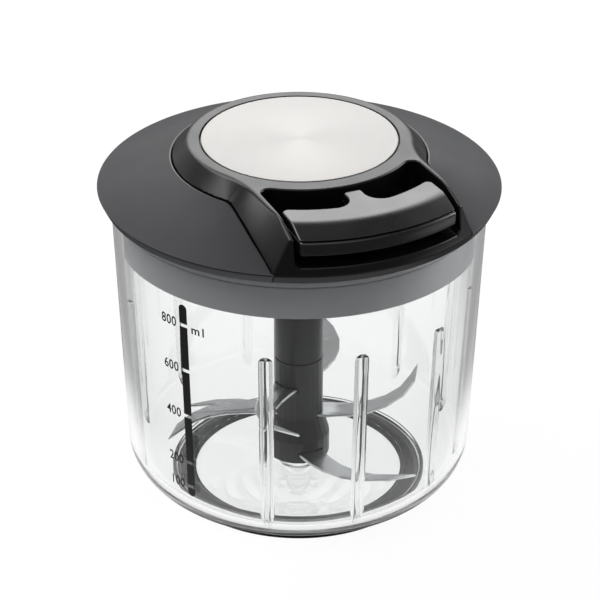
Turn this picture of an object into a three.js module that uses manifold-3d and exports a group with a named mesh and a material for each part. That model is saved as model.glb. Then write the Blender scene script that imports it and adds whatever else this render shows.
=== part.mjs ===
// A pull-cord food chopper: a clear round bowl, a blade unit that stands on a pin in it, and a lid
// whose handle winds a cord off a spring-loaded drum that turns the blades.
// Millimetres, +Z up. The origin is the middle of the face it stands on. The handle pulls toward -Y.
// In outlines, u runs from the axis toward the handle and v runs to the right of it (u = -Y, v = +X).
import * as THREE from "three";
import { mergeVertices } from "three/addons/utils/BufferGeometryUtils.js";
import Module from "manifold-3d";

const wasm = await Module();
wasm.setup();

// Clearances and cuts
const FIT = 0.3;
const RUNNING = 0.5;
const OVERRUN = 2;
const WELD = 0.0005;
const SLIVER = 0.004;

// Steps of a full turn on large, middle and small rounds
const ROUND_LARGE = 48;
const ROUND_MID = 24;
const ROUND_SMALL = 12;
const ROUND_TINY = 8;

// Bowl
const BOWL_RADIUS = 64.7;
const BOWL_HEIGHT = 114.2;
const BOWL_WALL = 2.8;
const BOWL_DRAFT = THREE.MathUtils.degToRad(2.29);
const BOWL_FLOOR = 3.4;
const BOWL_LIP_ROUND = 0.8;
const FOOT_INSET = 18.7;
const FOOT_RADIUS = BOWL_RADIUS - FOOT_INSET;
const FOOT_LIFT = 1.4;
const HEEL_WIDTH = 24;
const HEEL_HEIGHT = 17.7;
const HEEL_STEPS = 6;
const RIB_COUNT = 12;
const RIB_FIRST_ANGLE = THREE.MathUtils.degToRad(-34.6);
const RIB_SKIPPED = 11;
const RIB_RADIUS = 1.9;
const RIB_TOP_DROP = 33.2;
const RIB_FOOT_Z = 12.5;
const PIN_BOSS_RADIUS = 6.5;
const PIN_BOSS_HEIGHT = 3.6;

// Anti-slip ring under the bowl
const RING_WIDTH = 9;
const RING_KEY_WIDTH = 5.6;
const RING_KEY_HEIGHT = 1.3;
const RING_ROUND = 0.4;

// Pin that the blade unit turns on
const PIN_RADIUS = 2.5;
const PIN_STAND = 24;
const PIN_SUNK = 3.6;
const PIN_DOME = 1.2;

// Blade unit
const SHAFT_RADIUS = 8.75;
const SHAFT_WALL = 1.8;
const SHAFT_TOP_GAP = 1.4;
const SOCKET_DEPTH = 10;
const SOCKET_FLOOR = 3;
const HUB_FOOT_RADIUS = 11.2;
const HUB_LENGTH = 39;
const HUB_FOOT_FLARE = 8;
const HUB_LIFT = 1;
const SPIGOT_STUB = 9;
const BUSH_WALL = 1.2;
const BUSH_LENGTH = 20;
const BLADE_THICKNESS = 1.1;
const BLADE_EDGE = 0.45;
const BLADE_EYE_RADIUS = 6.6;
const BLADE_EYE_HOLE = 4.6;
const BLADE_START_RADIUS = 5.3;
const BLADE_ROOT_WIDTH = 9.5;
const BLADE_TIP_WIDTH = 3.2;
const BLADE_SWEEP = THREE.MathUtils.degToRad(38);
const BLADE_STEPS = 7;
const BLADE_WALL_GAP = 3.2;
const BLADES = [
  { name: "blade_lower", heightShare: 0.09, turnShare: 0, riseShare: -0.01, reachShare: 0.93 },
  { name: "blade_middle", heightShare: 0.42, turnShare: 1 / 6, riseShare: 0.06, reachShare: 0.98 },
  { name: "blade_upper", heightShare: 0.74, turnShare: 1 / 3, riseShare: 0.12, reachShare: 0.9 },
];

// Lid: heights above the bowl's rim
const BRIM_OVERHANG = 4.4;
const BRIM_RADIUS = BOWL_RADIUS + BRIM_OVERHANG;
const BRIM_EDGE_RISE = 2.2;
const BRIM_EDGE_DROP = 3.6;
const BRIM_EDGE_TUCK = 1.6;
const BRIM_NOSE = 0.5;
const BRIM_WALL = 1.8;
const BRIM_PARTING = 0.5;
const BRIM_PARTING_DEPTH = 0.6;
const COLLAR_FOOT_RADIUS = 43.2;
const COLLAR_FOOT_RISE = 12.8;
const LID_RISE = 18.3;

// Lid plug, the grey part that goes into the bowl
const PLUG_DEPTH = 17.6;
const PLUG_WALL = 2.2;
const PLUG_FLOOR = 2;
const PLUG_FLOOR_LIFT = 1.6;
const PLUG_FLANGE = 1.5;
const PLUG_FLANGE_REACH = 0.2;
const PLUG_SLACK = 0.4;
const SEAL_HEIGHT = 2.4;
const SEAL_DEPTH = 1.3;
const SEAL_BELOW_RIM = 3;
const STAND_WALL = 2.2;
const SEAL_BOSS_RADIUS = 10.5;
const SEAL_BOSS_HEIGHT = 4.6;

// Neck housing: collar, arms and pocket in one black moulding
const COLLAR_TOP_RADIUS = 38;
const ARM_TOP_HALF = 30.6;
const ARM_FOOT_HALF = 35.8;
const ARM_TOP_FILLET = 40;
const ARM_FOOT_FILLET = 10;
const ARM_SLOPE_START = 50;
const ARM_END_REACH = 61;
const ARM_END_DROP = 4.1;
const NECK_FRONT_TUCK = 1.5;
const NECK_SHELL = 2.2;
const NECK_FOOT_GAP = 0.8;
const OUTLINE_ARC_STEPS = 12;
const OUTLINE_FILLET_STEPS = 6;
const POCKET_BACK_RADIUS = 39.7;
const POCKET_RIM_WIDTH = 1.8;
const POCKET_HALF = ARM_TOP_HALF - POCKET_RIM_WIDTH;
const POCKET_WIDENING = 0.9;
const POCKET_CORNER = 3;
const POCKET_FLOOR_DROP = 13.4;
const POCKET_WALL = 2;
const POCKET_CHAMFER = 1.4;
const REST_PAD_SPACING = 17;
const REST_PAD_REACH = 55;
const REST_PAD_WIDTH = 2.4;
const REST_PAD_LENGTH = 8;

// Steel disc
const DISC_RADIUS = 33.7;
const DISC_THICKNESS = 0.8;
const DISC_SEAT = 0.3;
const DISC_PLATE = 2;
const DISC_EDGE = 0.2;

// Cord
const CORD_DIAMETER = 1.6;
const CORD_SIDES = 8;
const CORD_STEP = 4;
const CORD_TURNS_WIDE = 2;
const CORD_LAYERS = 2;

// Drum, under the disc plate
const DRUM_CORE_RADIUS = 16;
const DRUM_FLANGE_RADIUS = 24;
const DRUM_FLANGE = 1.1;
const DRUM_TOP_GAP = 0.5;
const DRUM_GROOVE = CORD_TURNS_WIDE * CORD_DIAMETER + 2 * FIT;
const DRUM_WELL_RADIUS = 7.4;
const DRUM_WELL_DEPTH = 3.4;
const JOURNAL_RADIUS = 2.5;
const DRUM_HUB_RADIUS = 6.5;
const DRUM_NECK_RADIUS = 5.4;
const UPPER_BUSH_WALL = 1;
const UPPER_BOSS_WALL = 1.6;

// Return spring and its cup
const CUP_RADIUS = 25;
const CUP_WALL = 1.6;
const CUP_FLOOR = 1.5;
const CUP_COVER = 1;
const CUP_COVER_GAP = 0.9;
const SPRING_HEIGHT = 6.4;
const SPRING_STRIP = 0.6;
const SPRING_TURNS = 5;
const SPRING_STEPS_PER_TURN = 14;
const EAR_REACH = 30.5;
const EAR_RADIUS = 3.4;
const EAR_THICKNESS = 2;
const EAR_COUNT = 3;
const EAR_FIRST_ANGLE = THREE.MathUtils.degToRad(60);
const POST_RADIUS = 3;
const LOWER_BUSH_WALL = 1.5;
const LOWER_BUSH_FLANGE = 0.8;
const LOWER_BUSH_REACH = 2.2;

// Output spigot and seal
const SPIGOT_FLATS = 8;
const SPIGOT_ROUND_RADIUS = 5;
const SPIGOT_TAIL_FLATS = 6.6;
const SPIGOT_TAIL_LENGTH = 7;
const DRIVE_PIN_RADIUS = 0.9;
const SHAFT_SEAL_RADIUS = 7.6;
const SHAFT_SEAL_HEIGHT = 2.6;

// Screws
const SCREW_RADIUS = 1.1;
const SCREW_LENGTH = 7;
const SCREW_HEAD_RADIUS = 2.4;
const SCREW_HEAD_HEIGHT = 1.6;
const SCREW_HEAD_BEVEL = 0.5;
const SCREW_RECESS_RADIUS = 0.9;
const SCREW_RECESS_DEPTH = 0.9;

// Eyelet that the cord comes out of
const EYELET_RADIUS = 2.5;
const EYELET_FLANGE_RADIUS = 3.6;
const EYELET_FLANGE = 0.8;
const EYELET_BORE_RADIUS = 1.3;
const EYELET_FLARE = 0.7;

// Pull handle
const HANDLE_TOP_DROP = 1.2;
const HANDLE_BACK_RADIUS = 51;
const HANDLE_FRONT_TUCK = 1.3;
const HANDLE_SLOPE_WIDTH = 7.3;
const HANDLE_FRONT_RADIUS = BRIM_RADIUS - HANDLE_FRONT_TUCK;
const HANDLE_ROLL_RADIUS = HANDLE_FRONT_RADIUS - HANDLE_SLOPE_WIDTH;
const HANDLE_FRONT_DROP = 3.3;
const HANDLE_BAND_HEIGHT = 5;
const HANDLE_BAND_BULGE = 0.6;
const HANDLE_SIDE_GAP = 1.6;
const HANDLE_BACK_HALF = POCKET_HALF - HANDLE_SIDE_GAP;
const HANDLE_WIDENING = 0.7;
const HANDLE_BACK_CORNER = 2.2;
const HANDLE_FRONT_CORNER = 1;
const STEM_END_GAP = 1.5;
const STEM_END = POCKET_BACK_RADIUS + STEM_END_GAP;
const STEM_HALF = 3.3;
const STEM_FILLET = 5.5;
const STEM_BEVEL = 1.2;
const HANDLE_SHELL = 2;
const HANDLE_ARC_STEPS = 6;
const HANDLE_SCREW_REACH = 58.5;
const HANDLE_SCREW_HALF = 17;
const HANDLE_BOSS_RADIUS = 3;
const KNOT_RADIUS = 1.9;
const KNOT_REACH = 48;

// Heights worked out from the sizes above
const RIM_Z = BOWL_HEIGHT;
const BRIM_EDGE_Z = RIM_Z + BRIM_EDGE_RISE;
const BRIM_LOW_Z = BRIM_EDGE_Z - BRIM_EDGE_DROP;
const COLLAR_FOOT_Z = RIM_Z + COLLAR_FOOT_RISE;
const TOP_Z = RIM_Z + LID_RISE;
const PLUG_LOW_Z = RIM_Z - PLUG_DEPTH;
const PLUG_FLOOR_Z = PLUG_LOW_Z + PLUG_FLOOR_LIFT;
const NECK_LOW_Z = BRIM_LOW_Z;
const POCKET_FLOOR_Z = TOP_Z - POCKET_FLOOR_DROP;
const DISC_FLOOR_Z = TOP_Z - DISC_THICKNESS - DISC_SEAT;
const CEILING_Z = DISC_FLOOR_Z - DISC_PLATE;
const DRUM_TOP_Z = CEILING_Z - DRUM_TOP_GAP;
const GROOVE_TOP_Z = DRUM_TOP_Z - DRUM_FLANGE;
const GROOVE_LOW_Z = GROOVE_TOP_Z - DRUM_GROOVE;
const DRUM_LOW_Z = GROOVE_LOW_Z - DRUM_FLANGE;
const CORD_Z = (GROOVE_TOP_Z + GROOVE_LOW_Z) / 2;
const CUP_TOP_Z = DRUM_LOW_Z - RUNNING;
const SPRING_TOP_Z = CUP_TOP_Z - CUP_COVER - CUP_COVER_GAP;
const SPRING_LOW_Z = SPRING_TOP_Z - SPRING_HEIGHT;
const CUP_FLOOR_Z = SPRING_LOW_Z - FIT - LOWER_BUSH_FLANGE - FIT;
const HUB_STEP_Z = CUP_FLOOR_Z + FIT + LOWER_BUSH_FLANGE + FIT;
const SEAL_BOSS_TOP_Z = PLUG_FLOOR_Z + SEAL_BOSS_HEIGHT;
const DRUM_FOOT_Z = SEAL_BOSS_TOP_Z + RUNNING;
const BOWL_FLOOR_Z = FOOT_LIFT + BOWL_FLOOR;
const PIN_BOSS_TOP_Z = BOWL_FLOOR_Z + PIN_BOSS_HEIGHT;
const HUB_LOW_Z = PIN_BOSS_TOP_Z + HUB_LIFT;
const HUB_TOP_Z = HUB_LOW_Z + HUB_LENGTH;
const SHAFT_TOP_Z = PLUG_LOW_Z + PLUG_FLOOR_LIFT - SHAFT_TOP_GAP;
const HANDLE_TOP_Z = TOP_Z - HANDLE_TOP_DROP;
const HANDLE_SPLIT_Z = HANDLE_TOP_Z - HANDLE_FRONT_DROP;
const HANDLE_LOW_Z = HANDLE_SPLIT_Z - FIT - HANDLE_BAND_HEIGHT;

// Radii worked out from the sizes above
const WINDING_INNER = DRUM_CORE_RADIUS + FIT;
const WINDING_OUTER = WINDING_INNER + CORD_LAYERS * CORD_DIAMETER;
const CORD_LEAVE_RADIUS = WINDING_OUTER + FIT + CORD_DIAMETER / 2;
const BRIM_SLOPE = (COLLAR_FOOT_Z - BRIM_EDGE_Z) / (BRIM_RADIUS - COLLAR_FOOT_RADIUS);
const BRIM_DROP = BRIM_WALL * Math.hypot(1, BRIM_SLOPE);
const PIN_BUSH_RADIUS = PIN_RADIUS + FIT + BUSH_WALL;

// The plug's flange lies on the rim and stays under the brim
const FLANGE_RADIUS = BOWL_RADIUS + PLUG_FLANGE_REACH;
const FLANGE_TOP_Z = Math.min(RIM_Z + FIT + PLUG_FLANGE, brimZ(FLANGE_RADIUS) - BRIM_DROP - FIT);

const materials = {
  clearPlastic: finish(0xeef2f2, 0.05, 0, 0.3),
  softBlack: finish(0x191a1b, 0.75, 0),
  darkSatin: finish(0x4b4d50, 0.45, 0),
  greyPlastic: finish(0x6a6c70, 0.5, 0),
  gloss: finish(0x1b1c1e, 0.3, 0),
  shaftPlastic: finish(0x2c2e31, 0.45, 0),
  brushedSteel: finish(0xd8d6d2, 0.32, 1),
  bladeSteel: finish(0xc9ccce, 0.2, 1),
  springSteel: finish(0x8b8f92, 0.35, 1),
  bearing: finish(0xd9d2bd, 0.5, 0),
  innerPlastic: finish(0xe4e4e0, 0.5, 0),
  silicone: finish(0x74777b, 0.7, 0),
  cord: finish(0x2a2a2c, 0.85, 0),
};

function finish(color, roughness, metalness, opacity = 1) {
  return new THREE.MeshStandardMaterial({ color, roughness, metalness, opacity, transparent: opacity < 1 });
}

// Closed geometry to solid, turned the right way out
function solid(geometry) {
  const bare = geometry.clone();
  bare.deleteAttribute("normal");
  bare.deleteAttribute("uv");
  const merged = mergeVertices(bare, WELD);
  const positions = merged.attributes.position.array;
  const kept = [];
  const index = merged.index.array;
  for (let i = 0; i < index.length; i += 3) {
    const [a, b, c] = index.slice(i, i + 3);
    if (a !== b && b !== c && c !== a) kept.push(a, b, c);
  }
  if (signedVolume(positions, kept) < 0) kept.reverse();
  const vertProperties = new Float32Array(positions);
  const triVerts = new Uint32Array(kept);
  return new wasm.Manifold(new wasm.Mesh({ numProp: 3, vertProperties, triVerts }));
}

function signedVolume(positions, triangles) {
  const corner = (i) => new THREE.Vector3().fromArray(positions, i * 3);
  let volume = 0;
  for (let i = 0; i < triangles.length; i += 3) {
    const [a, b, c] = [corner(triangles[i]), corner(triangles[i + 1]), corner(triangles[i + 2])];
    volume += a.dot(b.cross(c)) / 6;
  }
  return volume;
}

function geometryOf(body) {
  const mesh = body.simplify(SLIVER).getMesh();
  const positions = new Float32Array(mesh.numVert * 3);
  for (let i = 0; i < mesh.numVert; i++) {
    positions.set(mesh.vertProperties.subarray(i * mesh.numProp, i * mesh.numProp + 3), i * 3);
  }
  const geometry = new THREE.BufferGeometry();
  geometry.setAttribute("position", new THREE.BufferAttribute(positions, 3));
  geometry.setIndex(new THREE.BufferAttribute(mesh.triVerts, 1));
  geometry.computeVertexNormals();
  return geometry;
}

// A body of revolution about Z from [radius, height] pairs
function revolve(profile, steps = ROUND_MID) {
  const points = profile.map(([r, z]) => new THREE.Vector2(Math.max(r, 0), z));
  return solid(new THREE.LatheGeometry(points, steps).rotateX(Math.PI / 2));
}

// A ring about Z whose profile closes on itself
function ring(profile, steps = ROUND_MID) {
  return revolve([...profile, profile[0]], steps);
}

function tube(inner, outer, low, high, steps = ROUND_MID) {
  return ring([[inner, low], [outer, low], [outer, high], [inner, high]], steps);
}

function rod(radius, low, high, steps = ROUND_SMALL) {
  return revolve([[0, low], [radius, low], [radius, high], [0, high]], steps);
}

// A hexagonal bar about Z, measured across its flats
function hexBar(flats, low, high) {
  return rod(flats / Math.sqrt(3), low, high, 6);
}

// An outline of [u, v] pairs to a shape in the XY plane
function shapeOf(outline) {
  return new THREE.Shape(outline.map(([u, v]) => new THREE.Vector2(v, -u)));
}

function prism(outline, low, high) {
  const geometry = new THREE.ExtrudeGeometry(shapeOf(outline), { depth: high - low, bevelEnabled: false });
  return solid(geometry.translate(0, 0, low));
}

// A body through rings of [x, y, z] corners that match one to one, from the lowest to the highest
function lofted(rings) {
  const count = rings[0].length;
  const flat = (corners) => corners.map(([x, y]) => new THREE.Vector2(x, y));
  const lowFlat = flat(rings[0]);
  if (THREE.ShapeUtils.isClockWise(lowFlat)) return lofted(rings.map((corners) => [...corners].reverse()));
  const triangles = [];
  for (let start = 0; start < (rings.length - 1) * count; start += count) {
    for (let i = 0; i < count; i++) {
      const next = (i + 1) % count;
      triangles.push(start + i, start + next, start + count + next);
      triangles.push(start + i, start + count + next, start + count + i);
    }
  }
  const last = (rings.length - 1) * count;
  for (const [a, b, c] of THREE.ShapeUtils.triangulateShape(lowFlat, [])) triangles.push(a, c, b);
  for (const [a, b, c] of THREE.ShapeUtils.triangulateShape(flat(rings.at(-1)), [])) {
    triangles.push(last + a, last + b, last + c);
  }
  const geometry = new THREE.BufferGeometry();
  geometry.setAttribute("position", new THREE.Float32BufferAttribute(rings.flat(2), 3));
  geometry.setIndex(triangles);
  return solid(geometry);
}

function moved(body, x, y, z) {
  return body.translate([x, y, z]);
}

// A place at an angle about Z, counted from the handle's direction toward +X
function around(radius, angle) {
  return [radius * Math.sin(angle), -radius * Math.cos(angle)];
}

// Points of an arc in u and v about a centre
function arc(centreU, centreV, radius, from, to, steps) {
  return Array.from({ length: steps + 1 }, (_, i) => {
    const angle = from + ((to - from) * i) / steps;
    return [centreU + radius * Math.cos(angle), centreV + radius * Math.sin(angle)];
  });
}

function mirrored(half) {
  return [...half, ...[...half].reverse().map(([u, v]) => [u, -v])];
}

// Radius of the bowl's outside at a height above the heel, less an inset
function bowlRadius(z, inset = 0) {
  return BOWL_RADIUS - Math.tan(BOWL_DRAFT) * (BOWL_HEIGHT - z) - inset;
}

// The heel's quarter ellipse, from a start radius up to the wall
function heel(inset, floorZ) {
  const topZ = FOOT_LIFT + HEEL_HEIGHT;
  const wall = bowlRadius(topZ, inset);
  const width = HEEL_WIDTH - inset;
  const height = topZ - floorZ;
  const centre = wall - width;
  return { centre, topZ, width, height };
}

function heelPoints(inset, floorZ, startRadius) {
  const { centre, topZ, width, height } = heel(inset, floorZ);
  const start = Math.asin(Math.min(1, Math.max(0, (startRadius - centre) / width)));
  return Array.from({ length: HEEL_STEPS + 1 }, (_, i) => {
    const angle = start + ((Math.PI / 2 - start) * i) / HEEL_STEPS;
    return [centre + width * Math.sin(angle), topZ - height * Math.cos(angle)];
  });
}

function makeBowl() {
  const rim = bowlRadius(BOWL_HEIGHT);
  const outer = heelPoints(0, 0, FOOT_RADIUS);
  const innerHeel = heelPoints(BOWL_WALL, BOWL_FLOOR_Z, 0);
  let body = revolve(
    [
      [0, FOOT_LIFT],
      [FOOT_RADIUS, FOOT_LIFT],
      ...outer,
      [rim, BOWL_HEIGHT - BOWL_LIP_ROUND],
      [rim - BOWL_LIP_ROUND, BOWL_HEIGHT],
      [rim - BOWL_WALL + BOWL_LIP_ROUND, BOWL_HEIGHT],
      [rim - BOWL_WALL, BOWL_HEIGHT - BOWL_LIP_ROUND],
      ...innerHeel.reverse(),
      [PIN_BOSS_RADIUS, BOWL_FLOOR_Z],
      [PIN_BOSS_RADIUS - BOWL_LIP_ROUND, PIN_BOSS_TOP_Z],
      [0, PIN_BOSS_TOP_Z],
    ],
    ROUND_LARGE,
  );
  for (let i = 0; i < RIB_COUNT; i++) {
    if (i !== RIB_SKIPPED) body = body.add(makeRib(RIB_FIRST_ANGLE + (i * 2 * Math.PI) / RIB_COUNT));
  }
  const bore = rod(PIN_RADIUS + FIT, PIN_BOSS_TOP_Z - PIN_BOSS_HEIGHT - BOWL_FLOOR / 2, TOP_Z);
  const { inner, outer: outerKey } = ringKey();
  const groove = tube(inner - FIT, outerKey + FIT, 0, FOOT_LIFT + RING_KEY_HEIGHT, ROUND_LARGE);
  return body.subtract(bore).subtract(groove);
}

// A half-round rib with domed ends on the inside of the wall, leaning with the wall
function makeRib(angle) {
  const low = RIB_FOOT_Z + RIB_RADIUS;
  const length = BOWL_HEIGHT - RIB_TOP_DROP - RIB_RADIUS - low;
  const profile = [
    ...arc(0, 0, RIB_RADIUS, -Math.PI / 2, 0, ROUND_TINY / 4),
    ...arc(0, length, RIB_RADIUS, 0, Math.PI / 2, ROUND_TINY / 4),
  ];
  const lean = THREE.MathUtils.radToDeg(BOWL_DRAFT);
  const rib = revolve(profile, ROUND_TINY).rotate([lean, 0, 0]);
  const placed = moved(rib, 0, -bowlRadius(low, BOWL_WALL), low);
  return placed.rotate([0, 0, THREE.MathUtils.radToDeg(angle)]);
}

// The key under the anti-slip ring that its groove in the bowl takes
function ringKey() {
  const middle = FOOT_RADIUS - RING_WIDTH / 2;
  return { inner: middle - RING_KEY_WIDTH / 2, outer: middle + RING_KEY_WIDTH / 2 };
}

function makeBaseRing() {
  const { inner, outer } = ringKey();
  const top = FOOT_LIFT - FIT;
  const low = FOOT_RADIUS - RING_WIDTH;
  return ring(
    [
      [low + RING_ROUND, 0],
      [FOOT_RADIUS - RING_ROUND, 0],
      [FOOT_RADIUS, RING_ROUND],
      [FOOT_RADIUS, top],
      [outer, top],
      [outer, top + RING_KEY_HEIGHT],
      [inner, top + RING_KEY_HEIGHT],
      [inner, top],
      [low, top],
      [low, RING_ROUND],
    ],
    ROUND_LARGE,
  );
}

function makeCentrePin() {
  const low = PIN_BOSS_TOP_Z - PIN_SUNK;
  const high = PIN_BOSS_TOP_Z + PIN_STAND;
  return revolve(
    [
      [0, low],
      [PIN_RADIUS, low],
      [PIN_RADIUS, high - PIN_DOME],
      [PIN_RADIUS / 2, high - PIN_DOME / 4],
      [0, high],
    ],
    ROUND_SMALL,
  );
}

function bushTop() {
  return HUB_LOW_Z + BUSH_LENGTH;
}

function makePinBush() {
  return tube(PIN_RADIUS + FIT, PIN_BUSH_RADIUS, HUB_LOW_Z + FIT, bushTop(), ROUND_SMALL);
}

// Hub that holds the three blades, with a stub that goes up into the shaft tube
function makeHub() {
  const stub = SHAFT_RADIUS - SHAFT_WALL - FIT;
  let body = revolve([
    [0, HUB_LOW_Z],
    [HUB_FOOT_RADIUS, HUB_LOW_Z],
    [HUB_FOOT_RADIUS, HUB_LOW_Z + HUB_FOOT_FLARE],
    [SHAFT_RADIUS, HUB_LOW_Z + 2 * HUB_FOOT_FLARE],
    [SHAFT_RADIUS, HUB_TOP_Z],
    [stub, HUB_TOP_Z],
    [stub, HUB_TOP_Z + SPIGOT_STUB],
    [0, HUB_TOP_Z + SPIGOT_STUB],
  ]);
  body = body.subtract(rod(PIN_BUSH_RADIUS + FIT, HUB_LOW_Z - OVERRUN, bushTop() + FIT));
  body = body.subtract(rod(PIN_RADIUS + FIT, bushTop(), PIN_BOSS_TOP_Z + PIN_STAND + OVERRUN));
  for (const blade of BLADES) body = body.subtract(bladeBody(blade, FIT));
  return body;
}

function makeShaft() {
  const body = tube(SHAFT_RADIUS - SHAFT_WALL, SHAFT_RADIUS, HUB_TOP_Z + FIT, SHAFT_TOP_Z);
  const socketLow = SHAFT_TOP_Z - SOCKET_DEPTH;
  const plug = rod(SHAFT_RADIUS - SHAFT_WALL / 2, socketLow - SOCKET_FLOOR, SHAFT_TOP_Z, ROUND_MID);
  const socket = hexBar(SPIGOT_FLATS + 2 * RUNNING, socketLow, SHAFT_TOP_Z + OVERRUN);
  return body.add(plug).subtract(socket);
}

// Radius that a blade may reach at its height inside the bowl
function bladeReach(z, share) {
  const { centre, topZ, width, height } = heel(BOWL_WALL, BOWL_FLOOR_Z);
  const below = Math.max(0, (topZ - z) / height);
  const wall = centre + width * Math.sqrt(1 - below * below);
  return (wall - RIB_RADIUS - BLADE_WALL_GAP) * share;
}

// Two swept wings and the eye between them, as an outline of [u, v] pairs
function bladeOutline(reach, grow) {
  const wing = [];
  for (let side = -1; side <= 1; side += 2) {
    const steps = side < 0 ? [...Array(BLADE_STEPS + 1).keys()] : [...Array(BLADE_STEPS).keys()].reverse();
    for (const i of steps) {
      const share = i / BLADE_STEPS;
      const radius = BLADE_START_RADIUS + (reach - BLADE_START_RADIUS) * share;
      const angle = BLADE_SWEEP * share * share;
      const width = BLADE_ROOT_WIDTH + (BLADE_TIP_WIDTH - BLADE_ROOT_WIDTH) * share * share;
      const half = (side * (width + 2 * grow)) / 2;
      const along = [Math.cos(angle), Math.sin(angle)];
      wing.push([radius * along[0] - half * along[1], radius * along[1] + half * along[0]]);
    }
  }
  return [...wing, ...wing.map(([u, v]) => [-u, -v])];
}

function bladeBody(blade, grow = 0) {
  const z = HUB_LOW_Z + HUB_LENGTH * blade.heightShare;
  const reach = bladeReach(z, blade.reachShare);
  const wings = shapeOf(bladeOutline(reach, grow));
  const bevel = grow ? 0 : BLADE_EDGE;
  const thickness = BLADE_THICKNESS + 2 * grow;
  const geometry = new THREE.ExtrudeGeometry(wings, {
    depth: thickness - 2 * bevel,
    bevelEnabled: bevel > 0,
    bevelThickness: bevel,
    bevelSize: bevel,
    bevelOffset: -bevel,
    bevelSegments: 1,
  });
  geometry.translate(0, 0, bevel - thickness / 2);
  let body = solid(geometry).add(rod(BLADE_EYE_RADIUS + grow, -thickness / 2, thickness / 2));
  body = body.subtract(rod(BLADE_EYE_HOLE + FIT - grow, -thickness, thickness));
  const rise = blade.riseShare * reach;
  const bent = body.warp((corner) => {
    const out = Math.max(0, (Math.hypot(corner[0], corner[1]) - HUB_FOOT_RADIUS) / (reach - HUB_FOOT_RADIUS));
    corner[2] += rise * out * out;
  });
  return moved(bent.rotate([0, 0, blade.turnShare * 360]), 0, 0, z);
}

// Height of the brim's outside at a radius
function brimZ(radius) {
  return COLLAR_FOOT_Z - (radius - COLLAR_FOOT_RADIUS) * BRIM_SLOPE;
}

// Radius of the band under the brim's widest edge
function bandRadius(z) {
  return BRIM_RADIUS - (BRIM_EDGE_TUCK * (BRIM_EDGE_Z - z)) / BRIM_EDGE_DROP;
}

function makeBrim() {
  const inner = COLLAR_FOOT_RADIUS - BRIM_WALL;
  const nose = BRIM_RADIUS - BRIM_NOSE;
  const low = BRIM_RADIUS - BRIM_EDGE_TUCK;
  const under = low - BRIM_WALL / 2;
  const parting = BRIM_EDGE_Z - BRIM_PARTING;
  const body = ring(
    [
      [inner, brimZ(inner)],
      [inner, brimZ(inner) - BRIM_DROP],
      [under, brimZ(under) - BRIM_DROP],
      [low - BRIM_WALL, BRIM_LOW_Z],
      [low, BRIM_LOW_Z],
      [bandRadius(parting), parting],
      [bandRadius(parting) - BRIM_PARTING_DEPTH, parting],
      [BRIM_RADIUS - BRIM_PARTING_DEPTH, BRIM_EDGE_Z],
      [BRIM_RADIUS, BRIM_EDGE_Z],
      [nose, brimZ(nose)],
    ],
    ROUND_LARGE,
  );
  const opening = neckOutline(COLLAR_FOOT_RADIUS + FIT, ARM_FOOT_HALF + FIT, ARM_FOOT_FILLET - FIT);
  return body.subtract(prism(opening, 0, TOP_Z));
}

// The collar's round running out into two arms, closed across their ends
function neckOutline(radius, armHalf, fillet) {
  const centreV = armHalf + fillet;
  const centreU = Math.sqrt((radius + fillet) ** 2 - centreV ** 2);
  const meet = Math.atan2(centreV, centreU);
  const end = BRIM_RADIUS + OVERRUN;
  return mirrored([
    ...arc(0, 0, radius, Math.PI, meet, OUTLINE_ARC_STEPS),
    ...arc(centreU, centreV, fillet, Math.PI + meet, 1.5 * Math.PI, OUTLINE_FILLET_STEPS).slice(1),
    [ARM_SLOPE_START, armHalf],
    [end, armHalf],
  ]);
}

function armTopZ(u) {
  const run = Math.max(0, u - ARM_SLOPE_START) / (ARM_END_REACH - ARM_SLOPE_START);
  return TOP_Z - ARM_END_DROP * run;
}

// The neck's outside, or with an inset and a drop the hollow inside it
function neckBody(inset, drop) {
  const top = neckOutline(COLLAR_TOP_RADIUS - inset, ARM_TOP_HALF - inset, ARM_TOP_FILLET + inset);
  const foot = neckOutline(COLLAR_FOOT_RADIUS - inset, ARM_FOOT_HALF - inset, ARM_FOOT_FILLET + inset);
  const high = TOP_Z + OVERRUN;
  const footZ = ([u, v]) => brimZ(Math.hypot(u, v)) - drop;
  const upper = foot.map(([footU, footV], i) => {
    const [topU, topV] = top[i];
    const start = footZ(foot[i]);
    const share = (high - start) / (armTopZ(topU) - drop - start);
    return [footV + (topV - footV) * share, -(footU + (topU - footU) * share), high];
  });
  const seam = foot.map(([u, v]) => [v, -u, footZ([u, v])]);
  const lower = foot.map(([u, v]) => [v, -u, NECK_LOW_Z - OVERRUN]);
  return lofted([lower, seam, upper]).intersect(neckTopCut(drop)).intersect(neckFrontCut(inset));
}

// Side view of the neck's top: level over the collar, sloping down along the arms
function neckTopCut(drop) {
  const far = BRIM_RADIUS + OVERRUN;
  const side = new THREE.Shape([
    new THREE.Vector2(-far, 0),
    new THREE.Vector2(far, 0),
    new THREE.Vector2(far, armTopZ(far) - drop),
    new THREE.Vector2(ARM_SLOPE_START, TOP_Z - drop),
    new THREE.Vector2(-far, TOP_Z - drop),
  ]);
  const geometry = new THREE.ExtrudeGeometry(side, { depth: 2 * far, bevelEnabled: false });
  return solid(geometry.translate(0, 0, -far).rotateX(Math.PI / 2).rotateZ(-Math.PI / 2));
}

// The round front of the arms and of the wall below the handle
function neckFrontCut(inset) {
  const edge = BRIM_RADIUS - inset;
  const top = TOP_Z + OVERRUN;
  const lean = NECK_FRONT_TUCK / (armTopZ(ARM_END_REACH) - BRIM_EDGE_Z);
  return revolve(
    [
      [0, inset ? 0 : BRIM_LOW_Z],
      [edge - BRIM_EDGE_TUCK, inset ? 0 : BRIM_LOW_Z],
      [edge - BRIM_EDGE_TUCK, BRIM_LOW_Z],
      [edge, BRIM_EDGE_Z],
      [edge - lean * (top - BRIM_EDGE_Z), top],
      [0, top],
    ],
    ROUND_LARGE,
  );
}

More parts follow.
